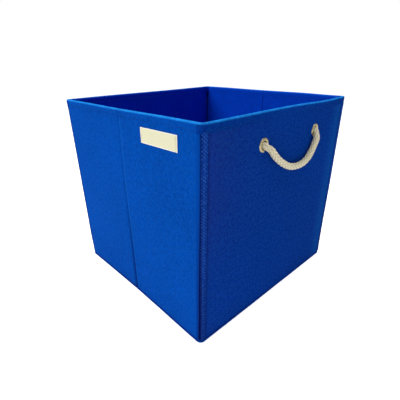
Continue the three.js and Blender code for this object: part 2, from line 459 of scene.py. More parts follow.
def remap(tree, value, low, high, to_low=0.0, to_high=1.0):
    node = tree.nodes.new("ShaderNodeMapRange")
    node.interpolation_type = "SMOOTHSTEP"
    for label, given in (
        ("Value", value), ("From Min", low), ("From Max", high),
        ("To Min", to_low), ("To Max", to_high),
    ):
        put(tree, node.inputs[label], given)
    return node.outputs["Result"]


def mix_colour(tree, factor, a, b, mode="MIX"):
    node = tree.nodes.new("ShaderNodeMix")
    node.data_type = "RGBA"
    node.blend_type = mode
    put(tree, node.inputs[0], factor)
    put(tree, node.inputs[6], a)
    put(tree, node.inputs[7], b)
    return node.outputs[2]


def noise(tree, vector, scale, detail=2.0, roughness=0.5):
    node = tree.nodes.new("ShaderNodeTexNoise")
    put(tree, node.inputs["Vector"], vector)
    put(tree, node.inputs["Scale"], scale)
    node.inputs["Detail"].default_value = detail
    node.inputs["Roughness"].default_value = roughness
    return node.outputs["Fac"]


def emboss_group(name):
    """Nonwoven cloth: a diagonal lattice of pressed dots with loose fibres between them."""
    group, given, result = new_group(
        name,
        [("Vector", "NodeSocketVector", None), ("Pitch", "NodeSocketFloat", 0.0024)],
        [("Dots", "NodeSocketFloat"), ("Height", "NodeSocketFloat")],
    )
    vector = given.outputs["Vector"]
    split = group.nodes.new("ShaderNodeSeparateXYZ")
    wire(group, vector, split.inputs[0])
    turn = calc(group, "DIVIDE", math.pi * math.sqrt(2), given.outputs["Pitch"])
    waves = []
    for operation in ("ADD", "SUBTRACT"):
        across = calc(group, operation, split.outputs[0], split.outputs[1])
        waves.append(calc(group, "COSINE", calc(group, "MULTIPLY", across, turn)))
    lattice = calc(group, "ADD", waves[0], waves[1])
    fibres = noise(group, vector, 900.0, 3.0, 0.6)
    worn = remap(group, noise(group, vector, 240.0, 2.0), 0.35, 0.6)
    dots = calc(group, "MULTIPLY", remap(group, lattice, 0.2, 1.5), worn)
    height = calc(group, "SUBTRACT", calc(group, "MULTIPLY", fibres, 0.35), dots)
    wire(group, dots, result.inputs["Dots"])
    wire(group, height, result.inputs["Height"])
    return group


def drift_group(name):
    """Uneven dye: broad patches and fine mottling over a colour."""
    group, given, result = new_group(
        name,
        [
            ("Vector", "NodeSocketVector", None),
            ("Colour", "NodeSocketColor", (0.5, 0.5, 0.5, 1)),
            ("Patches", "NodeSocketFloat", 0.2),
            ("Mottle", "NodeSocketFloat", 0.15),
        ],
        [("Colour", "NodeSocketColor")],
    )
    gain = 1.0
    for strength, scale, roughness in (("Patches", 9.0, 0.55), ("Mottle", 340.0, 0.7)):
        cloud = noise(group, given.outputs["Vector"], scale, 3.0, roughness)
        shift = calc(group, "MULTIPLY", calc(group, "SUBTRACT", cloud, 0.5), given.outputs[strength])
        gain = calc(group, "ADD", gain, shift)
    grey = group.nodes.new("ShaderNodeCombineColor")
    for socket in grey.inputs:
        wire(group, gain, socket)
    shade = mix_colour(group, 1.0, given.outputs["Colour"], grey.outputs[0], "MULTIPLY")
    wire(group, shade, result.inputs["Colour"])
    return group


def weave_group(name):
    """Plain woven ribbon: threads over and under at a fixed pitch."""
    group, given, result = new_group(
        name,
        [("Vector", "NodeSocketVector", None), ("Pitch", "NodeSocketFloat", 0.0008)],
        [("Gaps", "NodeSocketFloat"), ("Height", "NodeSocketFloat")],
    )
    split = group.nodes.new("ShaderNodeSeparateXYZ")
    wire(group, given.outputs["Vector"], split.inputs[0])
    turn = calc(group, "DIVIDE", math.tau, given.outputs["Pitch"])
    warp = calc(group, "SINE", calc(group, "MULTIPLY", split.outputs[0], turn))
    weft = calc(group, "SINE", calc(group, "MULTIPLY", split.outputs[1], turn))
    height = remap(group, calc(group, "MULTIPLY", warp, weft), -1.0, 1.0)
    wire(group, calc(group, "SUBTRACT", 1.0, height), result.inputs["Gaps"])
    wire(group, height, result.inputs["Height"])
    return group


def painted_light_group(name):
    """Lightens with a painted highlight and darkens with painted shade, from the piece's own marks."""
    group, given, result = new_group(
        name,
        [
            ("Colour", "NodeSocketColor", (0.5, 0.5, 0.5, 1)),
            ("Rubbed", "NodeSocketFloat", 0.0),
            ("Tucked", "NodeSocketFloat", 0.0),
            ("Rubbed colour", "NodeSocketColor", (1, 1, 1, 1)),
            ("Tucked colour", "NodeSocketColor", (0, 0, 0, 1)),
        ],
        [("Colour", "NodeSocketColor")],
    )
    colour = given.outputs["Colour"]
    for mark in ("Rubbed", "Tucked"):
        colour = mix_colour(group, given.outputs[mark], colour, given.outputs[mark + " colour"])
    wire(group, colour, result.inputs["Colour"])
    return group


GROUPS = {
    "pressed_dot_cloth": emboss_group, "uneven_dye": drift_group,
    "plain_weave": weave_group, "rubbed_and_tucked": painted_light_group,
}


def use_group(tree, name, **values):
    """Places one of the shared groups, which is built when it is first asked for."""
    node = tree.nodes.new("ShaderNodeGroup")
    node.node_tree = bpy.data.node_groups.get(name) or GROUPS[name](name)
    for label, value in values.items():
        put(tree, node.inputs[label.replace("_", " ")], value)
    return node


def attribute(tree, name):
    node = tree.nodes.new("ShaderNodeAttribute")
    node.attribute_type = "GEOMETRY"
    node.attribute_name = name
    return node.outputs["Fac"]


def cloth_vector(tree):
    node = tree.nodes.new("ShaderNodeUVMap")
    node.uv_map = "cloth"
    return node.outputs[0]


def object_vector(tree):
    return tree.nodes.new("ShaderNodeTexCoord").outputs["Object"]


def add_bump(tree, shader, height, strength, distance):
    node = tree.nodes.new("ShaderNodeBump")
    node.inputs["Strength"].default_value = strength
    node.inputs["Distance"].default_value = distance
    wire(tree, height, node.inputs["Height"])
    wire(tree, node.outputs[0], shader.inputs["Normal"])


def new_material(name, roughness=0.7, metallic=0.0):
    material = bpy.data.materials.new(name)
    material.use_nodes = True
    tree = material.node_tree
    shader = tree.nodes["Principled BSDF"]
    shader.inputs["Roughness"].default_value = roughness
    shader.inputs["Metallic"].default_value = metallic
    return material, tree, shader


def scaled(colour, gain=1.0):
    return (colour[0] * gain, colour[1] * gain, colour[2] * gain, 1.0)


def dyed(tree, colour, patches, mottle):
    """A piece's colour with its dye a little uneven."""
    dye = use_group(
        tree, "uneven_dye",
        Vector=object_vector(tree), Colour=scaled(colour), Patches=patches, Mottle=mottle,
    )
    return dye.outputs[0]


def pressed_cloth(name, colour, light, pitch, dots=0.28, other=None):
    """Nonwoven cloth with pressed dots, uneven dye, a painted highlight and painted shade.

    other is the colour of the cloth that it meets or turns over to, by the mark of that name; inside a hem
    it is painted shade."""
    material, tree, shader = new_material(name, 0.82)
    pressed = use_group(tree, "pressed_dot_cloth", Vector=cloth_vector(tree), Pitch=pitch)
    shown = calc(tree, "MULTIPLY", pressed.outputs["Dots"], dots)
    dotted = mix_colour(tree, shown, dyed(tree, colour, 0.4, 1.0), scaled(light))
    if other is not None:
        dotted = mix_colour(tree, attribute(tree, "other"), dotted, scaled(other))
    # Painted light: a painted highlight towards a lighter copy of the light colour, and painted shade
    # towards a dark copy of the cloth's colour.
    edges = use_group(
        tree, "rubbed_and_tucked",
        Colour=dotted, Rubbed=attribute(tree, "rubbed"), Tucked=attribute(tree, "tucked"),
        Rubbed_colour=scaled(light, 1.4),
        Tucked_colour=(0.002, colour[1] * 0.12, colour[2] * 0.28, 1.0),
    )
    wire(tree, edges.outputs[0], shader.inputs["Base Color"])
    gloss = remap(tree, pressed.outputs["Dots"], 0.0, 1.0, 0.86, 0.6)
    wire(tree, gloss, shader.inputs["Roughness"])
    shader.inputs["Sheen Weight"].default_value = 0.04
    shader.inputs["Sheen Roughness"].default_value = 0.5
    shader.inputs["Sheen Tint"].default_value = (0.0, 0.2, 1.0, 1.0)
    shader.inputs["Specular IOR Level"].default_value = 0.01
    add_bump(tree, shader, pressed.outputs["Height"], 0.6, 0.0002)
    return material


def thread_material(name, colour):
    """Twisted sewing thread."""
    material, tree, shader = new_material(name, 0.6)
    wire(tree, dyed(tree, colour, 0.2, 0.5), shader.inputs["Base Color"])
    shader.inputs["Specular IOR Level"].default_value = 0.04
    add_bump(tree, shader, noise(tree, object_vector(tree), 2600.0), 0.5, 0.0001)
    return material


def rope_material(name, colour):
    """Braided cotton: pale crowns, painted shade in the hollows, warmer and darker, and soft fibres."""
    material, tree, shader = new_material(name, 0.9)
    edges = use_group(
        tree, "rubbed_and_tucked",
        Colour=dyed(tree, colour, 0.15, 0.2),
        # Painted shade, deeper where the braid's grooves are deeper.
        Tucked=remap(tree, attribute(tree, "groove"), 0.15, 0.9, 0.0, 0.85),
        Tucked_colour=(colour[0] * 0.46, colour[1] * 0.4, colour[2] * 0.26, 1.0),
    )
    wire(tree, edges.outputs[0], shader.inputs["Base Color"])
    shader.inputs["Sheen Weight"].default_value = 0.3
    shader.inputs["Specular IOR Level"].default_value = 0.2
    add_bump(tree, shader, noise(tree, cloth_vector(tree), 1500.0, 4.0, 0.7), 0.5, 0.0002)
    return material


def metal_material(name, colour, tarnished):
    """Plated brass with fine scratches and a duller, darker tarnish in places."""
    material, tree, shader = new_material(name, 0.3, 1.0)
    place = object_vector(tree)
    tarnish = noise(tree, place, 190.0, 4.0, 0.6)
    shade = mix_colour(tree, remap(tree, tarnish, 0.45, 0.7), scaled(colour), scaled(tarnished))
    wire(tree, shade, shader.inputs["Base Color"])
    wire(tree, remap(tree, tarnish, 0.3, 0.75, 0.24, 0.46), shader.inputs["Roughness"])
    add_bump(tree, shader, noise(tree, place, 1400.0, 5.0, 0.75), 0.2, 0.0001)
    return material


def ribbon_material(name, colour, border):
    """Woven ribbon with whiter selvedges."""
    material, tree, shader = new_material(name, 0.75)
    weave = use_group(tree, "plain_weave", Vector=cloth_vector(tree), Pitch=0.0011)
    gaps = calc(tree, "MULTIPLY", weave.outputs["Gaps"], 0.12)
    threads = mix_colour(tree, gaps, dyed(tree, colour, 0.06, 0.08), scaled(colour, 0.6))
    edged = mix_colour(tree, attribute(tree, "rubbed"), threads, scaled(border))
    wire(tree, edged, shader.inputs["Base Color"])
    shader.inputs["Sheen Weight"].default_value = 0.15
    add_bump(tree, shader, weave.outputs["Height"], 0.4, 0.0001)
    return material


def board_material(name, colour):
    """Grey card with long fibres and specks."""
    material, tree, shader = new_material(name, 0.9)
    place = object_vector(tree)
    specks = calc(tree, "MULTIPLY", remap(tree, noise(tree, place, 700.0), 0.62, 0.7), 0.5)
    card = mix_colour(tree, specks, dyed(tree, colour, 0.2, 0.3), scaled(colour, 0.5))
    wire(tree, card, shader.inputs["Base Color"])
    add_bump(tree, shader, noise(tree, place, 900.0, 4.0, 0.7), 0.4, 0.0002)
    return material


def floor_material(name):
    """Plain pale floor, lit a little from itself and more so where it is seen straight."""
    material, tree, shader = new_material(name, 0.9)
    grain = noise(tree, object_vector(tree), 30.0)
    pale = mix_colour(tree, grain, (0.94, 0.94, 0.94, 1), (0.96, 0.96, 0.96, 1))
    wire(tree, pale, shader.inputs["Base Color"])
    shader.inputs["Specular IOR Level"].default_value = 0.0
    seen = tree.nodes.new("ShaderNodeLightPath").outputs["Is Camera Ray"]
    glow = mix_colour(tree, seen, (0.45, 0.45, 0.45, 1), (1, 1, 1, 1))
    wire(tree, glow, shader.inputs["Emission Color"])
    shader.inputs["Emission Strength"].default_value = 0.74
    return material


def finish_for(slot):
    """The material of one kind of cloth, cord or fitting, made when it is first asked for."""
    name = "finish_" + slot
    if bpy.data.materials.get(name):
        return bpy.data.materials[name]
    tints = bpy.context.scene.bin_colours
    pitch = bpy.context.scene.bin_sizes.dot_pitch
    # plain is the creased walls' cloth painted darker as shade.
    creased, plain, light = tints.creased_cloth, tints.plain_cloth, tints.light_cloth
    make, *looks = {
        "creased_cloth": (pressed_cloth, creased, light, pitch),
        "plain_cloth": (pressed_cloth, plain, light, pitch, 0.28, tints.plum_tint),
        # A hem's second colour is painted shade on its inner leg.
        "creased_hem": (pressed_cloth, creased, light, pitch, 0.28, tints.lining),
        "plain_hem": (pressed_cloth, plain, light, pitch, 0.28, tints.deep_lining),
        "seam_cloth": (pressed_cloth, plain, tints.seam_fleck, pitch * 1.25, 0.8, creased),
        "lining": (pressed_cloth, tints.lining, creased, pitch, 0.12),
        "deep_lining": (pressed_cloth, tints.deep_lining, creased, pitch, 0.06),
        "thread": (thread_material, tints.thread),
        "pale_thread": (thread_material, tints.label),
        "rope": (rope_material, tints.rope),
        "metal": (metal_material, tints.metal, tints.tarnish),
        "label": (ribbon_material, tints.label, tints.label_border),
        "tape": (ribbon_material, creased, plain),
        "board": (board_material, tints.board),
    }[slot]
    return make(name, *looks)


# ---------------------------------------------------------------- wall cloth

def place_piece(piece, bodies, stands_for=None):
    """Hides the solid a piece stands for, and rides the piece on one body, or leaves it fixed where it is
    between two.
    """
    if stands_for:
        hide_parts(stands_for)
    if isinstance(bodies, str):
        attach(piece, bodies)
    else:
        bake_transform(piece)


CORNERS = [
    # name, sign of x, sign of y, bodies in the joint's order, plain wall comes first
    ("front_right", 1, -1, ("right_side", "front_right"), True),
    ("front_left", -1, -1, ("front_left", "left_side"), False),
    ("back_right", 1, 1, ("right_side", "back_right"), True),
    ("back_left", -1, 1, "left_side", True),
]
CREASES = [
    ("front", -1, ("front_right", "front_left")),
    ("back", 1, ("back_right", "back_left")),
]
PLAIN_WALLS = [("right", 1, "right_side"), ("left", -1, "left_side")]
PANELS = [
    ("front_right", 1, -1), ("front_left", -1, -1), ("back_right", 1, 1), ("back_left", -1, 1),
]


def spread(low, high, step, extra=()):
    """Evenly spaced numbers from low to high, closer together round each extra one."""
    values = list(np.linspace(low, high, max(2, int(round((high - low) / step)) + 1)))
    for centre, reach, fine in extra:
        a, b = max(low, centre - reach), min(high, centre + reach)
        values = [v for v in values if v < a - step * 0.4 or v > b + step * 0.4 or v in (low, high)]
        values += list(np.linspace(a, b, max(2, int(round((b - a) / fine)) + 1)))
    return np.array(sorted(set(round(v, 7) for v in values)))


def beside_eyelets(sx, reach, fine):
    """The places where a plain wall's columns stand closer together: the right wall has eyelets."""
    return [(centre.y, reach, fine) for centre in EYELETS.values()] if sx > 0 else []


def half_wall(sx, start, end, step):
    """Numbers along one half of a creased wall, from start to end away from its crease."""
    return spread(*sorted((sx * start, sx * end)), step)


def over_crease(fine):
    """Numbers across the strip that folds at a crease."""
    return spread(-CREASE_ZONE, CREASE_ZONE, 0.0015, [(0.0, 0.0028, fine)])


def foot_curl(z):
    """How far the cloth turns in just above its lower edge."""
    return -0.0006 * (1 - ease(0.0, 0.0014, z - FOOT))


def wall_point(kind, t, z, out, sx=1, sy=1):
    """Settled point of a wall: t runs along it, z up it, and out is from its outer face."""
    if kind == "corner":
        x, y = corner_plan(t, z, out, sx, sy)
    elif kind == "plain":
        x, y = sx * (HALF_WIDTH + out), t
    else:
        x, y = t, sy * (HALF_DEPTH + out)
    return np.stack(np.broadcast_arrays(*settle(x, y, z)), axis=-1)


def wall_sheet(kind, across, z, out, thick, **signs):
    """Front and back grids of a sheet on a wall, and their numbers along and up the wall.

    The back lies thick metres nearer the wall's middle, or further if thick is negative."""
    t, height = np.meshgrid(across, z)
    out = out(t, height) if callable(out) else np.full(t.shape, float(out))
    grid = wall_point(kind, t, height, out, **signs)
    back = wall_point(kind, t, height, out - thick, **signs)
    return grid, back, t, height


def corner_relief(t, half):
    """How far the inside of a wall draws back near its ends, so that folded walls can lie close."""
    return 0.0016 * (1 - ease(0.0, 0.013, half - np.abs(t)))


def seam_strip(t, z):
    """Relief round a corner: the seam's raised edge, its two stitched lines and the groove beside it."""
    raised = 0.0005 * (1 - ease(SEAM_GROOVE - 0.02, SEAM_GROOVE, t))
    lip = 0.0005 * (1 - ease(0.0, 0.1, t))
    groove = 0.0007 * bump(t, SEAM_GROOVE, 0.07)
    lines = 0.00022 * (bump(t, 0.13, 0.022) + bump(t, 0.46, 0.022))
    pucker = 0.00012 * np.sin(math.tau * z / 0.0072) * bump(t, 0.3, 0.2)
    return raised - lip - groove - lines + pucker + foot_curl(z)


def crease_valley(x, z):
    """Relief at a crease: a valley with one steep side, shallow at the rim, deep and wide low down."""
    low = 1 - ease(0.03, 0.24, z)
    depth = 0.0006 + 0.0013 * low
    gentle = 0.0013 + 0.0030 * low
    steep = 0.0008 + 0.0002 * low
    valley = bump(x, 0.0, np.where(x < 0, gentle, steep))
    fade = ease(CREASE_ZONE, CREASE_ZONE - 0.0015, np.abs(x))
    ridge = 0.00018 * bump(x, 0.0030, 0.0012)
    return (ridge - depth * valley) * fade + foot_curl(z)


def strip_uv(t, z, length=1.0, start=0.0):
    """The cloth's own coordinates in metres, where t runs over length metres from start."""
    return np.stack([start + t * length, z], axis=2)


def outer_cloth(sizes):
    """The blue cloth outside every wall, its corner seams and its two creases."""
    cloth = sizes.cloth
    z = spread(FOOT, CLOTH_TOP, 0.005, [(FOOT, 0.003, 0.0005), (EYELETS["front"].z, 0.013, 0.002)])
    limit = HALF_DEPTH - CORNER_ZONE
    for name, sx, body in PLAIN_WALLS:
        y = spread(-limit - 0.0004, limit + 0.0004, 0.005, beside_eyelets(sx, 0.013, 0.002))
        grid, back, t, height = wall_sheet("plain", y, z, lambda t, z: foot_curl(z), cloth, sx=sx)
        # Painted shade at the wall's ends beside the corner seams, and a painted highlight growing towards
        # one end.
        marks = {
            "tucked": 0.5 * (1 - ease(0.0, 0.0012, limit - np.abs(t))),
            "rubbed": 0.1 * ease(0.11, limit, sx * t),
            # other: a purple tint fading away from the wall's front end.
            "other": 0.13 * np.exp(-(t + limit) / 0.055) * (0.2 + 0.8 * ease(0.08, 0.22, height)),
        }
        piece = cloth_shell(name + "_wall_outer_cloth", grid, back, finish_for("plain_cloth"),
                            strip_uv(t, height), marks)
        if sx > 0:
            drill(piece, EYELETS.values(), CLOTH_HOLE)
        place_piece(piece, body, name + "_wall_outer_fabric")
    for name, sx, sy, bodies, from_plain in CORNERS:
        t = spread(0.0, 1.0, 0.05, [(SEAM_GROOVE, 0.09, 0.012), (0.02, 0.03, 0.01),
                                    (0.13, 0.05, 0.012), (0.46, 0.05, 0.012)])
        grid, back, t, height = wall_sheet("corner", t, z, seam_strip, cloth, sx=sx, sy=sy)
        # Painted shade in the groove, on the stitched lines, beside the groove and low down, and a painted
        # highlight mid-strip.
        low = 1 - ease(0.08, 0.24, height)
        groove = (0.55 + 0.25 * low) * bump(t, SEAM_GROOVE - 0.01, 0.085)
        lines = 0.2 * bump(t, 0.13, 0.02) + 0.2 * bump(t, 0.46, 0.02)
        shaded = np.exp(-np.clip(t - SEAM_GROOVE, 0, 1) / 0.26) * (t > SEAM_GROOVE)
        # Painted shade: the foot of the strip before the groove is darker.
        smooth = (1 - ease(0.03, 0.14, height)) * (t < SEAM_GROOVE)
        tucked = groove + lines + (0.3 + 0.4 * low) * shaded + 0.1 * low + 0.28 * smooth
        marks = {
            "tucked": np.clip(tucked, 0, 1),
            "rubbed": 0.12 * bump(t, 0.35, 0.15),
            # Past the groove the plain walls' painted shade gives way to the creased walls' colour.
            "other": ease(SEAM_GROOVE - 0.01, SEAM_GROOVE + 0.04, t),
        }
        piece = cloth_shell(name + "_corner_seam", grid, back, finish_for("seam_cloth"),
                            strip_uv(t, height, CORNER_RUN, limit), marks)
        wall, end = ("right" if sx > 0 else "left"), name.split("_")[0]
        place_piece(piece, bodies, f"{wall}_wall_{end}_seam")
    for name, sx, sy in PANELS:
        edge = HALF_WIDTH - CORNER_ZONE
        x = half_wall(sx, CREASE_ZONE, edge, 0.005)
        grid, back, t, height = wall_sheet("panel", x, z, crease_valley, cloth, sy=sy)
        piece = cloth_shell(name + "_panel_outer_cloth", grid, back, finish_for("creased_cloth"),
                            strip_uv(t, height))
        place_piece(piece, name, name + "_panel_outer_fabric")
    for name, sy, bodies in CREASES:
        grid, back, t, height = wall_sheet("panel", over_crease(0.0004), z, crease_valley, cloth, sy=sy)
        # Painted shade down the crease's valley, deeper low down, and a painted highlight along its ridge.
        low = 1 - ease(0.03, 0.24, height)
        side = np.where(t < 0, 0.0014 + 0.0034 * low, 0.0008 + 0.0013 * low)
        marks = {
            "tucked": (0.16 + 0.62 * low) * bump(t, 0.0, side),
            "rubbed": 0.12 * bump(t, 0.0035, 0.0012),
        }
        piece = cloth_shell(name + "_crease_outer_cloth", grid, back, finish_for("creased_cloth"),
                            strip_uv(t, height), marks)
        place_piece(piece, bodies)


BACK_GATHERS = 1.6  # how much more the back wall's lining wrinkles beside its crease


def lining_cloth(sizes):
    """The darker cloth inside every wall, a little slack between the boards; painted shade inside the
    plain walls.
    """
    cloth = sizes.cloth
    z = spread(FOOT, CLOTH_TOP, 0.004)

    def slack(seed, half, gathers=0.0):
        """Relief of a lining, with more wrinkles beside the crease if it gathers there."""
        def out(t, height):
            gathered = 1 + gathers * bump(t, 0.022, 0.03) * ease(0.15, 0.25, height)
            wrinkle = 0.00045 * gathered * ripple(t, height * 0.6, seed, 0.07, 4)
            middle = ease(0.0, 0.02, CLOTH_TOP - height) * ease(0.0, 0.02, height - FOOT)
            return -WALL + np.minimum(wrinkle * middle, 0.0005) + corner_relief(t, half)
        return out

    def build(name, kind, across, out, finish, width, tucked=0.0, holes=(), **signs):
        grid, back, t, height = wall_sheet(kind, across, z, out, -cloth, **signs)
        marks = {"tucked": tucked * bump(t, 0.0, 0.0012)} if tucked else None
        piece = cloth_shell(name, grid, back, finish_for(finish), strip_uv(t, height), marks)
        if holes:
            drill(piece, holes, CLOTH_HOLE)
        return piece

    for name, sx, body in PLAIN_WALLS:
        half = HALF_DEPTH - WALL
        piece = build(name + "_wall_lining_cloth", "plain", spread(-half, half, 0.004),
                      slack(11 + sx, half), "deep_lining", 2 * half,
                      holes=EYELETS.values() if sx > 0 else (), sx=sx)
        place_piece(piece, body, name + "_wall_lining")
    for name, sx, sy in PANELS:
        edge = HALF_WIDTH - WALL
        piece = build(name + "_panel_lining_cloth", "panel", half_wall(sx, CREASE_ZONE, edge, 0.004),
                      slack(23 + sy, edge, BACK_GATHERS if sy > 0 else 0.0), "lining",
                      edge - CREASE_ZONE, sy=sy)
        place_piece(piece, name, name + "_panel_lining")
    for name, sy, bodies in CREASES:
        free = slack(23 + sy, HALF_WIDTH, BACK_GATHERS if sy > 0 else 0.0)

        def folded(t, height):
            return free(t, height) + 0.0007 * bump(t, 0.0, 0.0012)

        # Painted shade along the crease's fold.
        piece = build(name + "_crease_lining_cloth", "panel", over_crease(0.0005), folded,
                      "lining", 2 * CREASE_ZONE, tucked=0.7, sy=sy)
        place_piece(piece, bodies)


def hem_section(deep):
    """Outline of the hem over a wall's top, from its outer lower edge to its inner one: (out, z) pairs.

    deep is how far behind the hem's face the outline runs."""
    shoulder = TOP - 0.0024
    radius = WALL / 2 + HEM_PROUD - deep
    heights = [HEM_FOOT, HEM_FOOT + 0.0005]
    heights += [HEM_STITCHES + step for step in (-0.0009, -0.0004, 0.0, 0.0004, 0.0009, 0.0025)]
    heights += [shoulder - 0.0015, shoulder]
    legs = []
    for z in heights:
        pressed = 0.0003 * math.exp(-(((z - HEM_STITCHES) / 0.0006) ** 2))
        legs.append((HEM_PROUD - pressed - deep, z))
    arc = []
    for k in range(1, 10):
        turn = math.pi * k / 10
        arc.append((-WALL / 2 + radius * math.cos(turn), shoulder + radius * math.sin(turn)))
    inner = [(-WALL - out, z) for out, z in reversed(legs)]
    return np.array(legs + arc + inner)


def hem_grid(kind, across, section, valley=0.0, **signs):
    """Settled points of a hem, with rows that follow the section and columns along the wall."""
    t, out = np.meshgrid(across, section[:, 0])
    out = out - valley * bump(t, 0.0, 0.0014) * ease(-0.6 * WALL, -0.3 * WALL, out)
    if kind != "corner":
        half = (HALF_DEPTH if kind == "plain" else HALF_WIDTH) - WALL
        out = out + corner_relief(t, half) * ease(0.6 * WALL, 0.95 * WALL, -out)
    z = np.repeat(section[:, 1][:, None], len(across), axis=1)
    return wall_point(kind, t, z, out, **signs), t


def hems(sizes):
    """The hem folded over the top of every wall, with a painted highlight and painted shade."""
    section = hem_section(0.0)
    inner_section = hem_section(sizes.cloth)
    run = along_path(section)
    # The inner leg is painted in the lining's colour as painted shade, and the rim's top gets a painted
    # highlight.
    inside = ease(0.6, 0.75, -section[:, 0] / WALL)[:, None]
    high = ease(TOP - 0.0026, TOP - 0.0008, section[:, 1])[:, None]
    groove = bump(section[:, 1], HEM_STITCHES, 0.0006)[:, None]

    def build(name, kind, across, width, valley=0.0, **signs):
        grid, t = hem_grid(kind, across, section, valley, **signs)
        back, _ = hem_grid(kind, across, inner_section, valley, **signs)
        along = t * (CORNER_RUN if kind == "corner" else 1.0)
        uneven = 0.72 + 0.28 * ripple(along, 0 * along, 71, 0.011, 3)
        pressed = 0.22 * bump(t, 0.0, 0.0014) if valley else 0.0
        # Painted highlight along the rim, broken up unevenly; painted shade at the stitches and at a
        # crease.
        marks = {
            "rubbed": np.clip(high * uneven * (1 - 0.7 * inside), 0, 1),
            "tucked": 0.18 * groove + pressed + 0 * along,
            "other": inside + 0 * along,
        }
        finish = finish_for("creased_hem" if kind == "panel" else "plain_hem")
        piece = cloth_shell(name, grid, back, finish, strip_uv(along, run[:, None] + 0 * along), marks)
        return piece

    limit = HALF_DEPTH - CORNER_ZONE
    for name, sx, body in PLAIN_WALLS:
        piece = build(name + "_wall_hem", "plain", spread(-limit, limit, 0.004), 2 * limit, sx=sx)
        place_piece(piece, body, name + "_wall_rim_hem")
    for name, sx, sy, bodies, from_plain in CORNERS:
        piece = build(name + "_corner_hem", "corner", np.linspace(0, 1, 22), CORNER_RUN, sx=sx, sy=sy)
        place_piece(piece, bodies)
    for name, sx, sy in PANELS:
        edge = HALF_WIDTH - CORNER_ZONE
        piece = build(name + "_panel_hem", "panel", half_wall(sx, CREASE_ZONE, edge, 0.004),
                      edge - CREASE_ZONE, sy=sy)
        place_piece(piece, name, name + "_panel_rim_hem")
    for name, sy, bodies in CREASES:
        piece = build(name + "_crease_hem", "panel", over_crease(0.0005), 2 * CREASE_ZONE,
                      0.0005, sy=sy)
        place_piece(piece, bodies)


def wall_boards():
    """The grey boards inside the walls, which give way with the cloth round them."""
    face, thick, short = 0.0012, 0.0016, 0.0045
    z = spread(FOOT + 0.001, TOP - 0.003, 0.01, [(EYELETS["front"].z, 0.012, 0.004)])

    def build(name, kind, across, body, holes=(), **signs):
        grid, back, t, height = wall_sheet(kind, across, z, -face, thick, **signs)
        piece = cloth_shell(name + "_stiffener", grid, back, finish_for("board"), strip_uv(t, height))
        if holes:
            drill(piece, holes, BOARD_HOLE)
        place_piece(piece, body, name + "_board")

    for name, sx, body in PLAIN_WALLS:
        half = HALF_DEPTH - WALL - short
        y = spread(-half, half, 0.01, beside_eyelets(sx, 0.012, 0.004))
        build(name + "_wall", "plain", y, body, EYELETS.values() if sx > 0 else (), sx=sx)
    for name, sx, sy in PANELS:
        x = half_wall(sx, 0.004, HALF_WIDTH - WALL - short, 0.01)
        build(name + "_panel", "panel", x, name, sy=sy)


# ---------------------------------------------------------------- base

def ring_outline(z, out, per_wall=40, per_corner=14):
    """A closed plan outline at one height, out from the walls' outer face."""
    points = []
    t = np.linspace(0, 1, per_corner)
    order = [(1, -1, True), (1, 1, False), (-1, 1, True), (-1, -1, False)]
    straight = np.linspace(0, 1, per_wall + 2)[1:-1]
    for k, (sx, sy, backwards) in enumerate(order):
        x, y = corner_plan(t[::-1] if backwards else t, z, out, sx, sy)
        points += list(zip(x, y))
        nx, ny, _ = order[(k + 1) % 4]
        a = points[-1]
        bx, by = corner_plan(1.0 if order[(k + 1) % 4][2] else 0.0, z, out, nx, ny)
        points += [
            (a[0] + (float(bx) - a[0]) * s, a[1] + (float(by) - a[1]) * s) for s in straight
        ]
    points = np.array(points)
    x, y, _ = settle(points[:, 0], points[:, 1], np.full(len(points), z))
    return np.stack([x, y, np.full(len(points), z)], axis=1)


def dish(rings):
    """A closed flat piece from rings of points, each like the next, filled across its two ends."""
    grid = np.array(rings)
    rows, columns = grid.shape[:2]
    points = grid.reshape(-1, 3)
    faces = grid_faces(rows, columns, 0, around=True)
    faces.append(tuple(range(columns))[::-1])
    faces.append(tuple((rows - 1) * columns + c for c in range(columns)))
    return points, faces


def toward_middle(ring, share, z):
    """A ring like the given one, drawn in towards the middle of the floor."""
    made = ring.copy()
    made[:, 0] *= share
    made[:, 1] *= share
    made[:, 2] = z
    return made


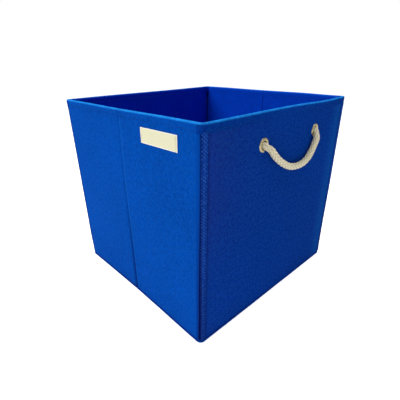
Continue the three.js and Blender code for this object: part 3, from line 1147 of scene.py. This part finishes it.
def base_cover():
    """The cloth tray under the bin: its sides turn up to meet the walls' cloth."""
    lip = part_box("bottom_cover")[1].z
    thick = 0.0006
    radius = 0.0022
    outside = [
        (lip + 0.0001, -0.0007), (lip - 0.0003, -0.0002), (lip - 0.001, 0.0), (radius + 0.0008, 0.0),
    ]
    for k in range(1, 7):
        turn = math.pi / 2 * k / 6
        outside.append((radius * (1 - math.sin(turn)), -radius * (1 - math.cos(turn))))
    rings = [ring_outline(z, out) for z, out in outside]
    base = rings[-1]
    shares = [0.985, 0.95, 0.9, 0.8, 0.68, 0.55, 0.42, 0.3, 0.18, 0.07]
    for share in shares:
        ring = toward_middle(base, share, 0.0)
        sag = 0.00012 * ripple(ring[:, 0], ring[:, 1], 31, 0.09, 3) * (1 - share**6)
        ring[:, 2] = np.abs(sag)
        rings.append(ring)
    grid = np.array(rings)
    rows, columns = grid.shape[:2]
    inner = []
    for k, (z, out) in enumerate(outside):
        inner.append(ring_outline(max(z, thick), min(out, 0.0) - thick))
    inner[0][:, 2] = outside[0][0]
    for share in shares:
        inner.append(toward_middle(inner[len(outside) - 1], share, thick))
    for ring, outer in zip(inner[len(outside):], rings[len(outside):]):
        ring[:, 2] = outer[:, 2] + thick
    inner = np.array(inner)
    count = rows * columns
    points = np.concatenate([grid.reshape(-1, 3), inner.reshape(-1, 3)])
    faces = grid_faces(rows, columns, 0, around=True)
    faces += grid_faces(rows, columns, count, around=True, flip=True)
    for c in range(columns):
        d = (c + 1) % columns
        faces.append((d, c, c + count, d + count))
    end = (rows - 1) * columns
    faces.append(tuple(end + c for c in range(columns)))
    faces.append(tuple(count + end + c for c in range(columns))[::-1])
    uv = points[:, :2] + points[:, 2:]
    # Painted shade along the top of the lip, where it meets the walls.
    tucked = 0.6 * ease(lip - 0.0007, lip, points[:, 2])
    piece = mesh_piece("base_cover_cloth", points, faces, finish_for("plain_cloth"), uv,
                       {"tucked": tucked})
    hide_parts("bottom_cover")
    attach(piece, "right_side")
    turn = math.radians(
        next(j for j in frame["joints"] if j["name"] == "front_right_corner")["range_deg"][1]
    )
    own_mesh(piece)


def pad_rings(low, high, corner, inset, seed, per_side=36):
    """Rings of points over a flat pad, from the middle of its top, over its edge, to the middle below."""
    cx, cy = (low.x + high.x) / 2, (low.y + high.y) / 2
    hx, hy = (high.x - low.x) / 2 - inset, (high.y - low.y) / 2 - inset
    hz = (high.z - low.z) / 2 - inset
    cz = (high.z + low.z) / 2
    outline = []
    for quarter in range(4):
        sx, sy = ((1, 1), (-1, 1), (-1, -1), (1, -1))[quarter]
        for k in range(9):
            turn = math.pi / 2 * (quarter + k / 8)
            outline.append((sx * (hx - corner) + corner * math.cos(turn),
                            sy * (hy - corner) + corner * math.sin(turn)))
        nx, ny = ((-1, 1), (-1, -1), (1, -1), (1, 1))[quarter]
        a = outline[-1]
        turn = math.pi / 2 * (quarter + 1)
        b = (nx * (hx - corner) + corner * math.cos(turn), ny * (hy - corner) + corner * math.sin(turn))
        for s in np.linspace(0, 1, per_side + 2)[1:-1]:
            outline.append((a[0] + (b[0] - a[0]) * s, a[1] + (b[1] - a[1]) * s))
    outline = np.array(outline)
    rings = []
    rows = [(share, 1.0) for share in (0.05, 0.2, 0.35, 0.5, 0.65, 0.78, 0.88, 0.94, 0.975)]
    edge = [(1 - 0.004 * (1 - math.sin(a)), math.cos(a)) for a in np.linspace(0.3, math.pi - 0.3, 7)]
    rows = rows + edge + [(share, -1.0) for share, _ in reversed(rows)]
    for share, level in rows:
        ring = np.zeros((len(outline), 3))
        ring[:, 0] = cx + outline[:, 0] * share
        ring[:, 1] = cy + outline[:, 1] * share
        ring[:, 2] = cz + hz * level
        if level > 0.5:
            dip = 0.0002 * ripple(ring[:, 0], ring[:, 1], seed, 0.08, 4)
            ring[:, 2] += np.minimum(dip, 0.0) * (1 if share < 0.99 else 0)
        rings.append(ring)
    return rings


def base_insert():
    """The loose stiff base: a board in a cloth sleeve, with a pull tab to lift it by."""
    low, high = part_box("insert_sleeve")
    skin = 0.0005
    outer, faces = dish(pad_rings(low, high, 0.0024, 0.0, 51))
    inner, inner_faces = dish(pad_rings(low, high, 0.0019, skin, 51))
    count = len(outer)
    points = np.concatenate([outer, inner])
    faces = faces + [tuple(count + i for i in f)[::-1] for f in inner_faces]
    piece = mesh_piece("insert_sleeve_cloth", points, faces, finish_for("lining"), points[:, :2])
    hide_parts("insert_sleeve")
    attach(piece, "base_insert")
    board = frame["nodes"]["insert_board"]
    board.data.materials.clear()
    board.data.materials.append(finish_for("board"))
    low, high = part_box("insert_pull_tab")
    columns, rows = 24, 13
    u, v = np.meshgrid(np.linspace(0, 1, columns), np.linspace(0, 1, rows))
    x = low.x + (high.x - low.x) * u
    y = low.y + (high.y - low.y) * v
    arch = 0.0032 * np.sin(math.pi * np.clip((u - 0.12) / 0.76, 0, 1)) ** 2
    z = high.z + arch
    grid = np.stack([x, y, z], axis=2)
    edge = np.clip(1 - np.minimum(v, 1 - v) / 0.09, 0, 1)
    back = grid - np.array([0, 0, high.z - low.z])
    piece = cloth_shell(
        "insert_lift_tab", grid, back, finish_for("tape"), np.stack([x, y], axis=2),
        {"rubbed": 0.3 * edge},
    )
    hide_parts("insert_pull_tab")
    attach(piece, "base_insert")


# ---------------------------------------------------------------- handle and fittings

ROPE_CROWN = 0.0015
# The handle's route as in the frame's source: out from the wall's clearance plane, along it and up.
ROPE_ROUTE = [
    (0.4, -62.5, 0), (0.6, -59.4, -2.6), (0.7, -55.4, -6.3), (0.6, -49.2, -12),
    (0.5, -41.8, -18.4), (0.2, -33, -24.7), (0, -22.8, -30.9), (0, -11, -36.6),
    (0, 1.4, -40.5), (0, 12.6, -42.1), (0, 23.2, -42.1), (0, 33.4, -40.3),
    (0, 41.6, -36.4), (0, 48, -31), (0, 53.1, -24.6), (0.2, 56.8, -17.5),
    (0.5, 59.2, -10.2), (0.5, 61.2, -4.4), (0.4, 62.5, 0),
]


def rope_points(sizes):
    """The handle's centre line, out of one eyelet, down in a loop and into the other."""
    radius = sizes.rope / 2
    middle = (EYELETS["front"].y + EYELETS["back"].y) / 2
    rise = EYELETS["front"].z
    points = [
        Vector((HALF_WIDTH + ROPE_CROWN + radius + gap * 0.001, middle + along * 0.001,
                rise + up * 0.001))
        for gap, along, up in ROPE_ROUTE
    ]
    inside = HALF_WIDTH - 0.001
    start, end = EYELETS["front"], EYELETS["back"]
    lead_in = [
        (inside, start.y, rise), (inside + 0.0025, start.y + 0.0001, rise - 0.0002),
        (inside + 0.0046, start.y + 0.0016, rise - 0.0022),
    ]
    lead_out = [
        (inside + 0.0046, end.y - 0.0008, rise - 0.0036),
        (inside + 0.0028, end.y, rise - 0.0004), (inside, end.y, rise),
    ]
    return lead_in + [tuple(p) for p in points[2:-2]] + lead_out


def rope_handle(sizes):
    """The cotton rope handle, with a tied knot inside the wall at each end."""
    path, length = smooth_path(rope_points(sizes), 0.0006)
    rope = braided_tube("rope_handle_cotton", path, sizes.rope / 2, finish_for("rope"), pinch=0.018)
    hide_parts("handle_rope")
    knots = [tied_knot(side, sizes) for side in ("front", "back")]
    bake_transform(rope)


def tied_knot(side, sizes):
    """An overhand knot drawn up against the washer, and the rope through the hole."""
    centre = EYELETS[side]
    low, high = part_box(side + "_knot")
    radius = sizes.rope / 2 * 0.94
    reach = (high.z - low.z) / 2 - radius
    depth_centre = low.x + 0.0072
    amplitude = 0.0072 - radius
    turns = np.linspace(0.25, math.tau - 0.25, 40)
    knot = [
        (
            depth_centre + amplitude * math.sin(3 * a),
            centre.y + reach * (math.sin(a) + 2 * math.sin(2 * a)) / 3,
            centre.z + reach * (math.cos(a) - 2 * math.cos(2 * a)) / 3,
        )
        for a in turns
    ]
    lead = [(HALF_WIDTH + 0.0004, centre.y, centre.z), (HALF_WIDTH - 0.004, centre.y, centre.z),
            (low.x + 0.0135, centre.y + 0.001, centre.z - 0.001)]
    path, _ = smooth_path(lead + knot, 0.0007)
    piece = braided_tube(side + "_tied_knot", path, radius, finish_for("rope"), sides=32, taper=0.003)
    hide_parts(side + "_knot")
    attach(piece, "right_side")
    return piece


def eyelet_set():
    """The two rolled eyelets outside the wall and the washers they are set into inside it."""
    for side, centre in EYELETS.items():
        low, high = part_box(side + "_eyelet")
        bore, barrel, flange = 0.0052, 0.0060, (high.y - low.y) / 2
        face, crown = HALF_WIDTH + 0.0003, high.x
        profile = [(low.x, bore), (face, bore)]
        for k in range(9):
            turn = math.pi / 2 * k / 8
            profile.append((face + (crown - face) * math.sin(turn), bore + 0.0012 * (1 - math.cos(turn))))
        for k in range(1, 9):
            turn = math.pi / 2 * k / 8
            profile.append((crown - (crown - face) * (1 - math.cos(turn)) * 0.85,
                            bore + 0.0014 + (flange - bore - 0.0014) * math.sin(turn)))
        profile += [(face, flange - 0.0001), (face, barrel + 0.0006), (face - 0.0004, barrel),
                    (low.x, barrel)]
        piece = lathe(side + "_rolled_eyelet", profile, centre, finish_for("metal"))
        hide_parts(side + "_eyelet")
        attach(piece, "right_side")
        low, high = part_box(side + "_washer")
        ring = [
            (low.x, barrel + 0.0008), (low.x - 0.0002, barrel + 0.0012),
            (low.x - 0.0002, flange - 0.0012), (low.x, flange - 0.0003),
            (low.x + 0.0003, flange), (high.x, flange), (high.x, barrel + 0.0004),
        ]
        piece = lathe(side + "_set_washer", ring, centre, finish_for("metal"))
        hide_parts(side + "_washer")
        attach(piece, "right_side")


def label_face():
    """Lowest and highest corner of the label as it is sewn on, a little inside its solid's box."""
    low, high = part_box("blank_label")
    return low + Vector((0.0024, 0, 0.0003)), high - Vector((0.0012, 0, 0.0008))


def cloth_label():
    """The blank cloth label sewn to the front, with turned-in ends."""
    low, high = label_face()
    x = spread(low.x, high.x, 0.0025, [(low.x, 0.003, 0.0005), (high.x, 0.003, 0.0005)])
    z = spread(low.z, high.z, 0.002, [(low.z, 0.0015, 0.0005), (high.z, 0.0015, 0.0005)])
    t, height = np.meshgrid(x, z)
    side = np.minimum(t - low.x, high.x - t)
    end = np.minimum(height - low.z, high.z - height)
    lift = 0.0002 * ripple(t, height, 61, 0.03, 3)
    lift = lift + 0.0003 * ease(0.0, 0.01, side) * ease(0.0, 0.006, end)
    pressed = 0.0003 * bump(side, 0.0022, 0.0005)
    out = 0.0009 + lift - pressed
    grid = wall_point("panel", t, height, out, sy=-1)
    back = wall_point("panel", t, height, out - 0.0005, sy=-1)
    border = np.clip(1.3 - np.minimum(side, end) / 0.0009, 0, 1)
    piece = cloth_shell(
        "blank_cloth_label", grid, back, finish_for("label"), np.stack([t, height], axis=2),
        {"rubbed": border},
    )
    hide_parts("blank_label")
    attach(piece, "front_right")


# ---------------------------------------------------------------- stitches

def stitch_tree():
    """Geometry nodes: one small stitch at every step along each line it is given."""
    tree = bpy.data.node_groups.new("sewn_stitches", "GeometryNodeTree")
    face = tree.interface
    face.new_socket(name="Lines", in_out="INPUT", socket_type="NodeSocketGeometry")
    for label, value in (
        ("Pitch", 0.0034), ("Stitch length", 0.0026), ("Thread", 0.00032), ("Wander", 0.05),
    ):
        socket = face.new_socket(name=label, in_out="INPUT", socket_type="NodeSocketFloat")
        socket.default_value = value
    seed = face.new_socket(name="Seed", in_out="INPUT", socket_type="NodeSocketInt")
    seed.default_value = 7
    face.new_socket(name="Finish", in_out="INPUT", socket_type="NodeSocketMaterial")
    face.new_socket(name="Stitches", in_out="OUTPUT", socket_type="NodeSocketGeometry")
    given, result = tree.nodes.new("NodeGroupInput"), tree.nodes.new("NodeGroupOutput")
    curve = tree.nodes.new("GeometryNodeMeshToCurve")
    resample = tree.nodes.new("GeometryNodeResampleCurve")
    resample.mode = "LENGTH"
    tangent = tree.nodes.new("GeometryNodeInputTangent")
    align = tree.nodes.new("FunctionNodeAlignEulerToVector")
    align.axis = "X"
    wander = tree.nodes.new("FunctionNodeRandomValue")
    wander.data_type = "FLOAT_VECTOR"
    negative = tree.nodes.new("ShaderNodeMath")
    negative.operation = "MULTIPLY"
    negative.inputs[1].default_value = -1.0
    add = tree.nodes.new("ShaderNodeVectorMath")
    add.operation = "ADD"
    ball = tree.nodes.new("GeometryNodeMeshUVSphere")
    ball.inputs["Segments"].default_value = 6
    ball.inputs["Rings"].default_value = 5
    ball.inputs["Radius"].default_value = 1.0
    half = tree.nodes.new("ShaderNodeMath")
    half.operation = "MULTIPLY"
    half.inputs[1].default_value = 0.5
    size = tree.nodes.new("ShaderNodeCombineXYZ")
    shape = tree.nodes.new("GeometryNodeTransform")
    instance = tree.nodes.new("GeometryNodeInstanceOnPoints")
    realize = tree.nodes.new("GeometryNodeRealizeInstances")
    finish = tree.nodes.new("GeometryNodeSetMaterial")
    link = tree.links.new
    link(given.outputs["Lines"], curve.inputs["Mesh"])
    link(curve.outputs[0], resample.inputs["Curve"])
    link(given.outputs["Pitch"], resample.inputs["Length"])
    link(given.outputs["Stitch length"], half.inputs[0])
    link(half.outputs[0], size.inputs[0])
    link(given.outputs["Thread"], size.inputs[1])
    link(given.outputs["Thread"], size.inputs[2])
    link(ball.outputs["Mesh"], shape.inputs["Geometry"])
    link(size.outputs[0], shape.inputs["Scale"])
    link(tangent.outputs[0], add.inputs[0])
    link(given.outputs["Wander"], negative.inputs[0])
    for socket in wander.inputs:
        if socket.name == "Min" and socket.type == "VECTOR":
            link(negative.outputs[0], socket)
        if socket.name == "Max" and socket.type == "VECTOR":
            link(given.outputs["Wander"], socket)
        if socket.name == "Seed":
            link(given.outputs["Seed"], socket)
    link(wander.outputs[0], add.inputs[1])
    link(add.outputs[0], align.inputs["Vector"])
    link(resample.outputs[0], instance.inputs["Points"])
    link(shape.outputs[0], instance.inputs["Instance"])
    link(align.outputs[0], instance.inputs["Rotation"])
    link(instance.outputs[0], realize.inputs[0])
    link(realize.outputs[0], finish.inputs["Geometry"])
    link(given.outputs["Finish"], finish.inputs["Material"])
    link(finish.outputs[0], result.inputs["Stitches"])
    return tree


def sew(name, lines, body, material, sizes, length=0.0026, pitch=None):
    """One mesh of stitches along lines of points, riding on one body."""
    points, edges = [], []
    for line in lines:
        first = len(points)
        points += [tuple(p) for p in line]
        edges += [(first + k, first + k + 1) for k in range(len(line) - 1)]
    mesh = bpy.data.meshes.new(name)
    mesh.from_pydata(points, edges, [])
    guide = bpy.data.objects.new(name, mesh)
    bpy.context.scene.collection.objects.link(guide)
    tree = bpy.data.node_groups.get("sewn_stitches") or stitch_tree()
    sewing = guide.modifiers.new("stitches", "NODES")
    sewing.node_group = tree
    values = {
        "Pitch": pitch or sizes.stitch_pitch, "Stitch length": length, "Thread": sizes.thread,
        "Wander": 0.05, "Seed": RNG_SEED, "Finish": material,
    }
    for item in tree.interface.items_tree:
        if item.item_type == "SOCKET" and item.in_out == "INPUT" and item.name in values:
            sewing[item.identifier] = values[item.name]
    bpy.context.view_layer.update()
    graph = bpy.context.evaluated_depsgraph_get()
    made = bpy.data.meshes.new_from_object(guide.evaluated_get(graph))
    guide.modifiers.clear()
    guide.data = made
    if not made.materials:
        made.materials.append(material)
    made.polygons.foreach_set("use_smooth", [True] * len(made.polygons))
    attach(guide, body)
    return guide


def wall_line(kind, across, z, out, **signs):
    """A line of settled points on a wall's face."""
    across, z = np.broadcast_arrays(np.asarray(across, float), z)
    return wall_point(kind, across, z, out(across, z) if callable(out) else out, **signs)


def stitches(sizes):
    """Topstitching along the hems, the corner seams, the label's ends, and the insert."""
    thread = finish_for("thread")
    stitched = HEM_FOOT + 0.0024
    lift = sizes.thread * 0.45
    proud = 0.00035 - 0.0003 + lift
    lines = {body: [] for body in frame["bodies"]}
    reach_y, reach_x = HALF_DEPTH - CORNER_ZONE - 0.001, HALF_WIDTH - CORNER_ZONE - 0.001
    inner_y, inner_x = HALF_DEPTH - WALL - 0.002, HALF_WIDTH - WALL - 0.002
    for _, sx, body in PLAIN_WALLS:
        for reach, out in ((reach_y, proud), (inner_y - 0.012, -WALL - proud)):
            across = np.arange(-reach, reach, 0.004)
            lines[body].append(wall_line("plain", across, stitched, out, sx=sx))
    for name, sx, sy in PANELS:
        for reach, out in ((reach_x, proud), (inner_x - 0.012, -WALL - proud)):
            across = sx * np.arange(0.008, reach, 0.004)
            lines[name].append(wall_line("panel", across, stitched, out, sy=sy))
    z = np.arange(FOOT + 0.004, HEM_FOOT - 0.001, 0.004)
    for name, sx, sy, bodies, from_plain in CORNERS:
        body = bodies if isinstance(bodies, str) else bodies[0 if from_plain else 1]

        def on_strip(t, height):
            return seam_strip(t, height) + lift

        lines[body].append(wall_line("corner", 0.13, z, on_strip, sx=sx, sy=sy))
    for body, found in lines.items():
        if found:
            sew(body + "_topstitching", found, body, thread, sizes)
    low, high = label_face()
    z = np.arange(low.z + 0.0012, high.z - 0.0008, 0.001)
    ends = []
    for x in (low.x + 0.0022, high.x - 0.0022):
        ends.append(wall_line("panel", x, z, 0.0009 + lift, sy=-1))
    sew("label_end_stitches", ends, "front_right", finish_for("pale_thread"),
        sizes, 0.0018, 0.0024)
    low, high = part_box("insert_sleeve")
    inset = 0.007
    x0, x1, y0, y1 = low.x + inset, high.x - inset, low.y + inset, high.y - inset
    ring = []
    corners = [(x0, y0), (x1, y0), (x1, y1), (x0, y1), (x0, y0)]
    for (ax, ay), (bx, by) in zip(corners, corners[1:]):
        steps = np.linspace(0, 1, 60)
        ring.append([(ax + (bx - ax) * s, ay + (by - ay) * s, high.z + lift * 0.2) for s in steps])
    tab_low, tab_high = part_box("insert_pull_tab")
    for x in (tab_low.x + 0.002, tab_high.x - 0.002):
        steps = np.linspace(tab_low.y + 0.002, tab_high.y - 0.002, 12)
        ring.append([(x, y, tab_high.z + lift * 0.5) for y in steps])
    sew("insert_edge_stitches", ring, "base_insert", thread, sizes)


# ---------------------------------------------------------------- stage

def stage():
    """The floor, the studio lights, the world and the camera."""
    scene = bpy.context.scene
    scene.view_settings.view_transform = "Standard"
    scene.view_settings.look = "None"
    camera_data = bpy.data.cameras.new("camera")
    camera_data.lens = CAMERA_LENS
    camera_data.sensor_width = 36.0
    camera_data.clip_start = 0.01
    camera = bpy.data.objects.new("camera", camera_data)
    forward = CAMERA_FORWARD.normalized()
    right = (CAMERA_RIGHT - forward * CAMERA_RIGHT.dot(forward)).normalized()
    up = right.cross(forward)
    turn = Matrix((right, up, -forward)).transposed()
    camera.matrix_world = Matrix.Translation(CAMERA_PLACE) @ turn.to_4x4()
    scene.collection.objects.link(camera)
    scene.camera = camera
    floor_mesh = bpy.data.meshes.new("floor")
    bm = bmesh.new()
    bmesh.ops.create_circle(bm, cap_ends=True, segments=96, radius=8.0)
    bm.to_mesh(floor_mesh)
    bm.free()
    floor_mesh.transform(Matrix.Translation((0, 0, -0.0004)))
    floor_mesh.materials.append(floor_material("finish_floor"))
    floor = bpy.data.objects.new("floor", floor_mesh)
    scene.collection.objects.link(floor)
    world = bpy.data.worlds.new("studio")
    scene.world = world
    world.use_nodes = True
    tree = world.node_tree
    background = tree.nodes["Background"]
    background.inputs["Color"].default_value = (1.0, 1.0, 1.0, 1.0)
    seen = tree.nodes.new("ShaderNodeLightPath").outputs["Is Camera Ray"]
    wire(tree, remap(tree, seen, 0.0, 1.0, 0.3, 1.0), background.inputs["Strength"])
    for name, place, aim, size, power, colour in (
        ("key", (-0.9, -1.7, 1.5), (0, 0, 0.12), 1.2, 25.5, (1.0, 0.99, 0.97)),
        ("top", (0.1, 0.1, 2.1), (0, 0, 0.1), 1.6, 22, (1.0, 1.0, 1.0)),
        ("side", (1.7, 0.5, 1.0), (0.1, 0.1, 0.2), 1.1, 1.9, (0.96, 0.97, 1.0)),
    ):
        light = bpy.data.lights.new(name, "AREA")
        light.shape = "DISK"
        light.size = size
        light.energy = power
        light.color = colour
        lamp = bpy.data.objects.new(name, light)
        lamp.location = place
        aim = Vector(aim) - Vector(place)
        lamp.rotation_euler = aim.to_track_quat("-Z", "Y").to_euler()
        scene.collection.objects.link(lamp)


# ---------------------------------------------------------------- add-on

class BinSizes(PropertyGroup):
    """Sizes of the bin's cloth, thread and rope."""

    cloth: FloatProperty(
        name="Cloth thickness", description="Thickness of the wall cloth",
        default=0.0007, min=0.0003, max=0.0009, unit="LENGTH", precision=5,
    )
    dot_pitch: FloatProperty(
        name="Dot pitch", description="Distance between the cloth's pressed dots",
        default=0.0023, min=0.001, max=0.006, unit="LENGTH", precision=5,
    )
    stitch_pitch: FloatProperty(
        name="Stitch pitch", description="Distance from one stitch to the next",
        default=0.0036, min=0.002, max=0.01, unit="LENGTH", precision=5,
    )
    thread: FloatProperty(
        name="Thread radius", description="Half the thickness of the sewing thread",
        default=0.00032, min=0.0001, max=0.001, unit="LENGTH", precision=5,
    )
    rope: FloatProperty(
        name="Rope diameter", description="Diameter of the cotton rope handle",
        default=0.009, min=0.006, max=0.009, unit="LENGTH", precision=5,
    )


def tint(name, description, default):
    return FloatVectorProperty(
        name=name, description=description, default=default, size=3, min=0, max=1, subtype="COLOR"
    )


class BinColours(PropertyGroup):
    """Colours of the bin's cloth, rope, fittings and label."""

    creased_cloth: tint("Creased walls", "Cloth on the two creased walls", (0.0002, 0.0595, 0.375))
    # Painted shade: the same cloth as the creased walls', painted darker and more violet on the plain
    # walls.
    plain_cloth: tint("Shaded plain walls", "Cloth on the two plain walls", (0.0005, 0.030, 0.262))
    # A purple tint on the plain walls, fading away from their front ends.
    plum_tint: tint("Plum tint", "Dye of the plain walls beside the front corners", (0.05, 0.031, 0.27))
    light_cloth: tint("Light cloth", "Where the cloth's fibres catch the light", (0.012, 0.215, 0.64))
    seam_fleck: tint("Seam flecks", "Light flecks of the corner seams", (0.04, 0.15, 0.58))
    lining: tint("Lining", "Cloth inside the creased walls", (0.001, 0.057, 0.59))
    # Painted shade: the same lining, painted darker inside the plain walls.
    deep_lining: tint("Deep lining", "Cloth inside the plain walls", (0.0005, 0.017, 0.44))
    thread: tint("Thread", "Sewing thread", (0.001, 0.07, 0.38))
    rope: tint("Rope", "Cotton rope handle", (0.865, 0.795, 0.57))
    metal: tint("Eyelets", "Plated eyelets and washers", (0.52, 0.46, 0.28))
    tarnish: tint("Tarnish", "Duller patches of the eyelets and washers", (0.62, 0.5, 0.27))
    label: tint("Label", "Blank cloth label", (0.776, 0.76, 0.516))
    label_border: tint("Label border", "The label's woven edges", (0.95, 0.95, 0.9))
    board: tint("Board", "Stiffening board", (0.32, 0.28, 0.22))


class BIN_OT_stage(Operator):
    """Makes the floor, lights, world and camera"""

    bl_idname = "bin.stage"
    bl_label = "Studio stage"

    def execute(self, context):
        stage()
        return {"FINISHED"}


class BIN_OT_rope(Operator):
    """Makes the rope handle and its two knots"""

    bl_idname = "bin.rope"
    bl_label = "Rope handle"

    def execute(self, context):
        rope_handle(context.scene.bin_sizes)
        return {"FINISHED"}


class BIN_OT_outer(Operator):
    """Makes the outer cloth of the walls, corners and creases"""

    bl_idname = "bin.outer"
    bl_label = "Outer cloth"

    def execute(self, context):
        outer_cloth(context.scene.bin_sizes)
        return {"FINISHED"}


class BIN_OT_lining(Operator):
    """Makes the lining of the walls"""

    bl_idname = "bin.lining"
    bl_label = "Lining"

    def execute(self, context):
        lining_cloth(context.scene.bin_sizes)
        return {"FINISHED"}


class BIN_OT_hems(Operator):
    """Makes the hems over the rim"""

    bl_idname = "bin.hems"
    bl_label = "Rim hems"

    def execute(self, context):
        hems(context.scene.bin_sizes)
        return {"FINISHED"}


class BIN_OT_boards(Operator):
    """Makes the boards inside the walls"""

    bl_idname = "bin.boards"
    bl_label = "Wall boards"

    def execute(self, context):
        wall_boards()
        return {"FINISHED"}


class BIN_OT_base(Operator):
    """Makes the cloth cover under the bin and the loose base insert"""

    bl_idname = "bin.base"
    bl_label = "Base cover and insert"

    def execute(self, context):
        base_cover()
        base_insert()
        return {"FINISHED"}


class BIN_OT_eyelets(Operator):
    """Makes the eyelets and washers"""

    bl_idname = "bin.eyelets"
    bl_label = "Eyelets"

    def execute(self, context):
        eyelet_set()
        return {"FINISHED"}


class BIN_OT_label(Operator):
    """Makes the blank label"""

    bl_idname = "bin.label"
    bl_label = "Blank label"

    def execute(self, context):
        cloth_label()
        return {"FINISHED"}


class BIN_OT_stitches(Operator):
    """Sews the stitches"""

    bl_idname = "bin.stitches"
    bl_label = "Stitches"

    def execute(self, context):
        stitches(context.scene.bin_sizes)
        return {"FINISHED"}


STEPS = (
    BIN_OT_stage, BIN_OT_rope, BIN_OT_outer, BIN_OT_lining, BIN_OT_hems, BIN_OT_boards,
    BIN_OT_base, BIN_OT_eyelets, BIN_OT_label, BIN_OT_stitches,
)


class BIN_PT_panel(Panel):
    """Sizes, colours and steps of the storage bin"""

    bl_idname = "BIN_PT_panel"
    bl_label = "Storage bin"
    bl_space_type = "VIEW_3D"
    bl_region_type = "UI"
    bl_category = "Storage bin"

    def draw(self, context):
        layout = self.layout
        for group in (context.scene.bin_sizes, context.scene.bin_colours):
            box = layout.box()
            for label in group.__annotations__:
                box.prop(group, label)
        for step in STEPS:
            layout.operator(step.bl_idname)


CLASSES = (BinSizes, BinColours, *STEPS, BIN_PT_panel)


def register():
    for made in CLASSES:
        bpy.utils.register_class(made)
    bpy.types.Scene.bin_sizes = PointerProperty(type=BinSizes)
    bpy.types.Scene.bin_colours = PointerProperty(type=BinColours)


def unregister():
    del bpy.types.Scene.bin_colours
    del bpy.types.Scene.bin_sizes
    for made in reversed(CLASSES):
        bpy.utils.unregister_class(made)


def main():
    register()
    bpy.ops.bin.stage()
    bpy.ops.bin.rope()
    bpy.ops.bin.outer()
    bpy.ops.bin.lining()
    bpy.ops.bin.hems()
    bpy.ops.bin.boards()
    bpy.ops.bin.base()
    bpy.ops.bin.eyelets()
    bpy.ops.bin.label()
    bpy.ops.bin.stitches()


if __name__ == "__main__":
    main()
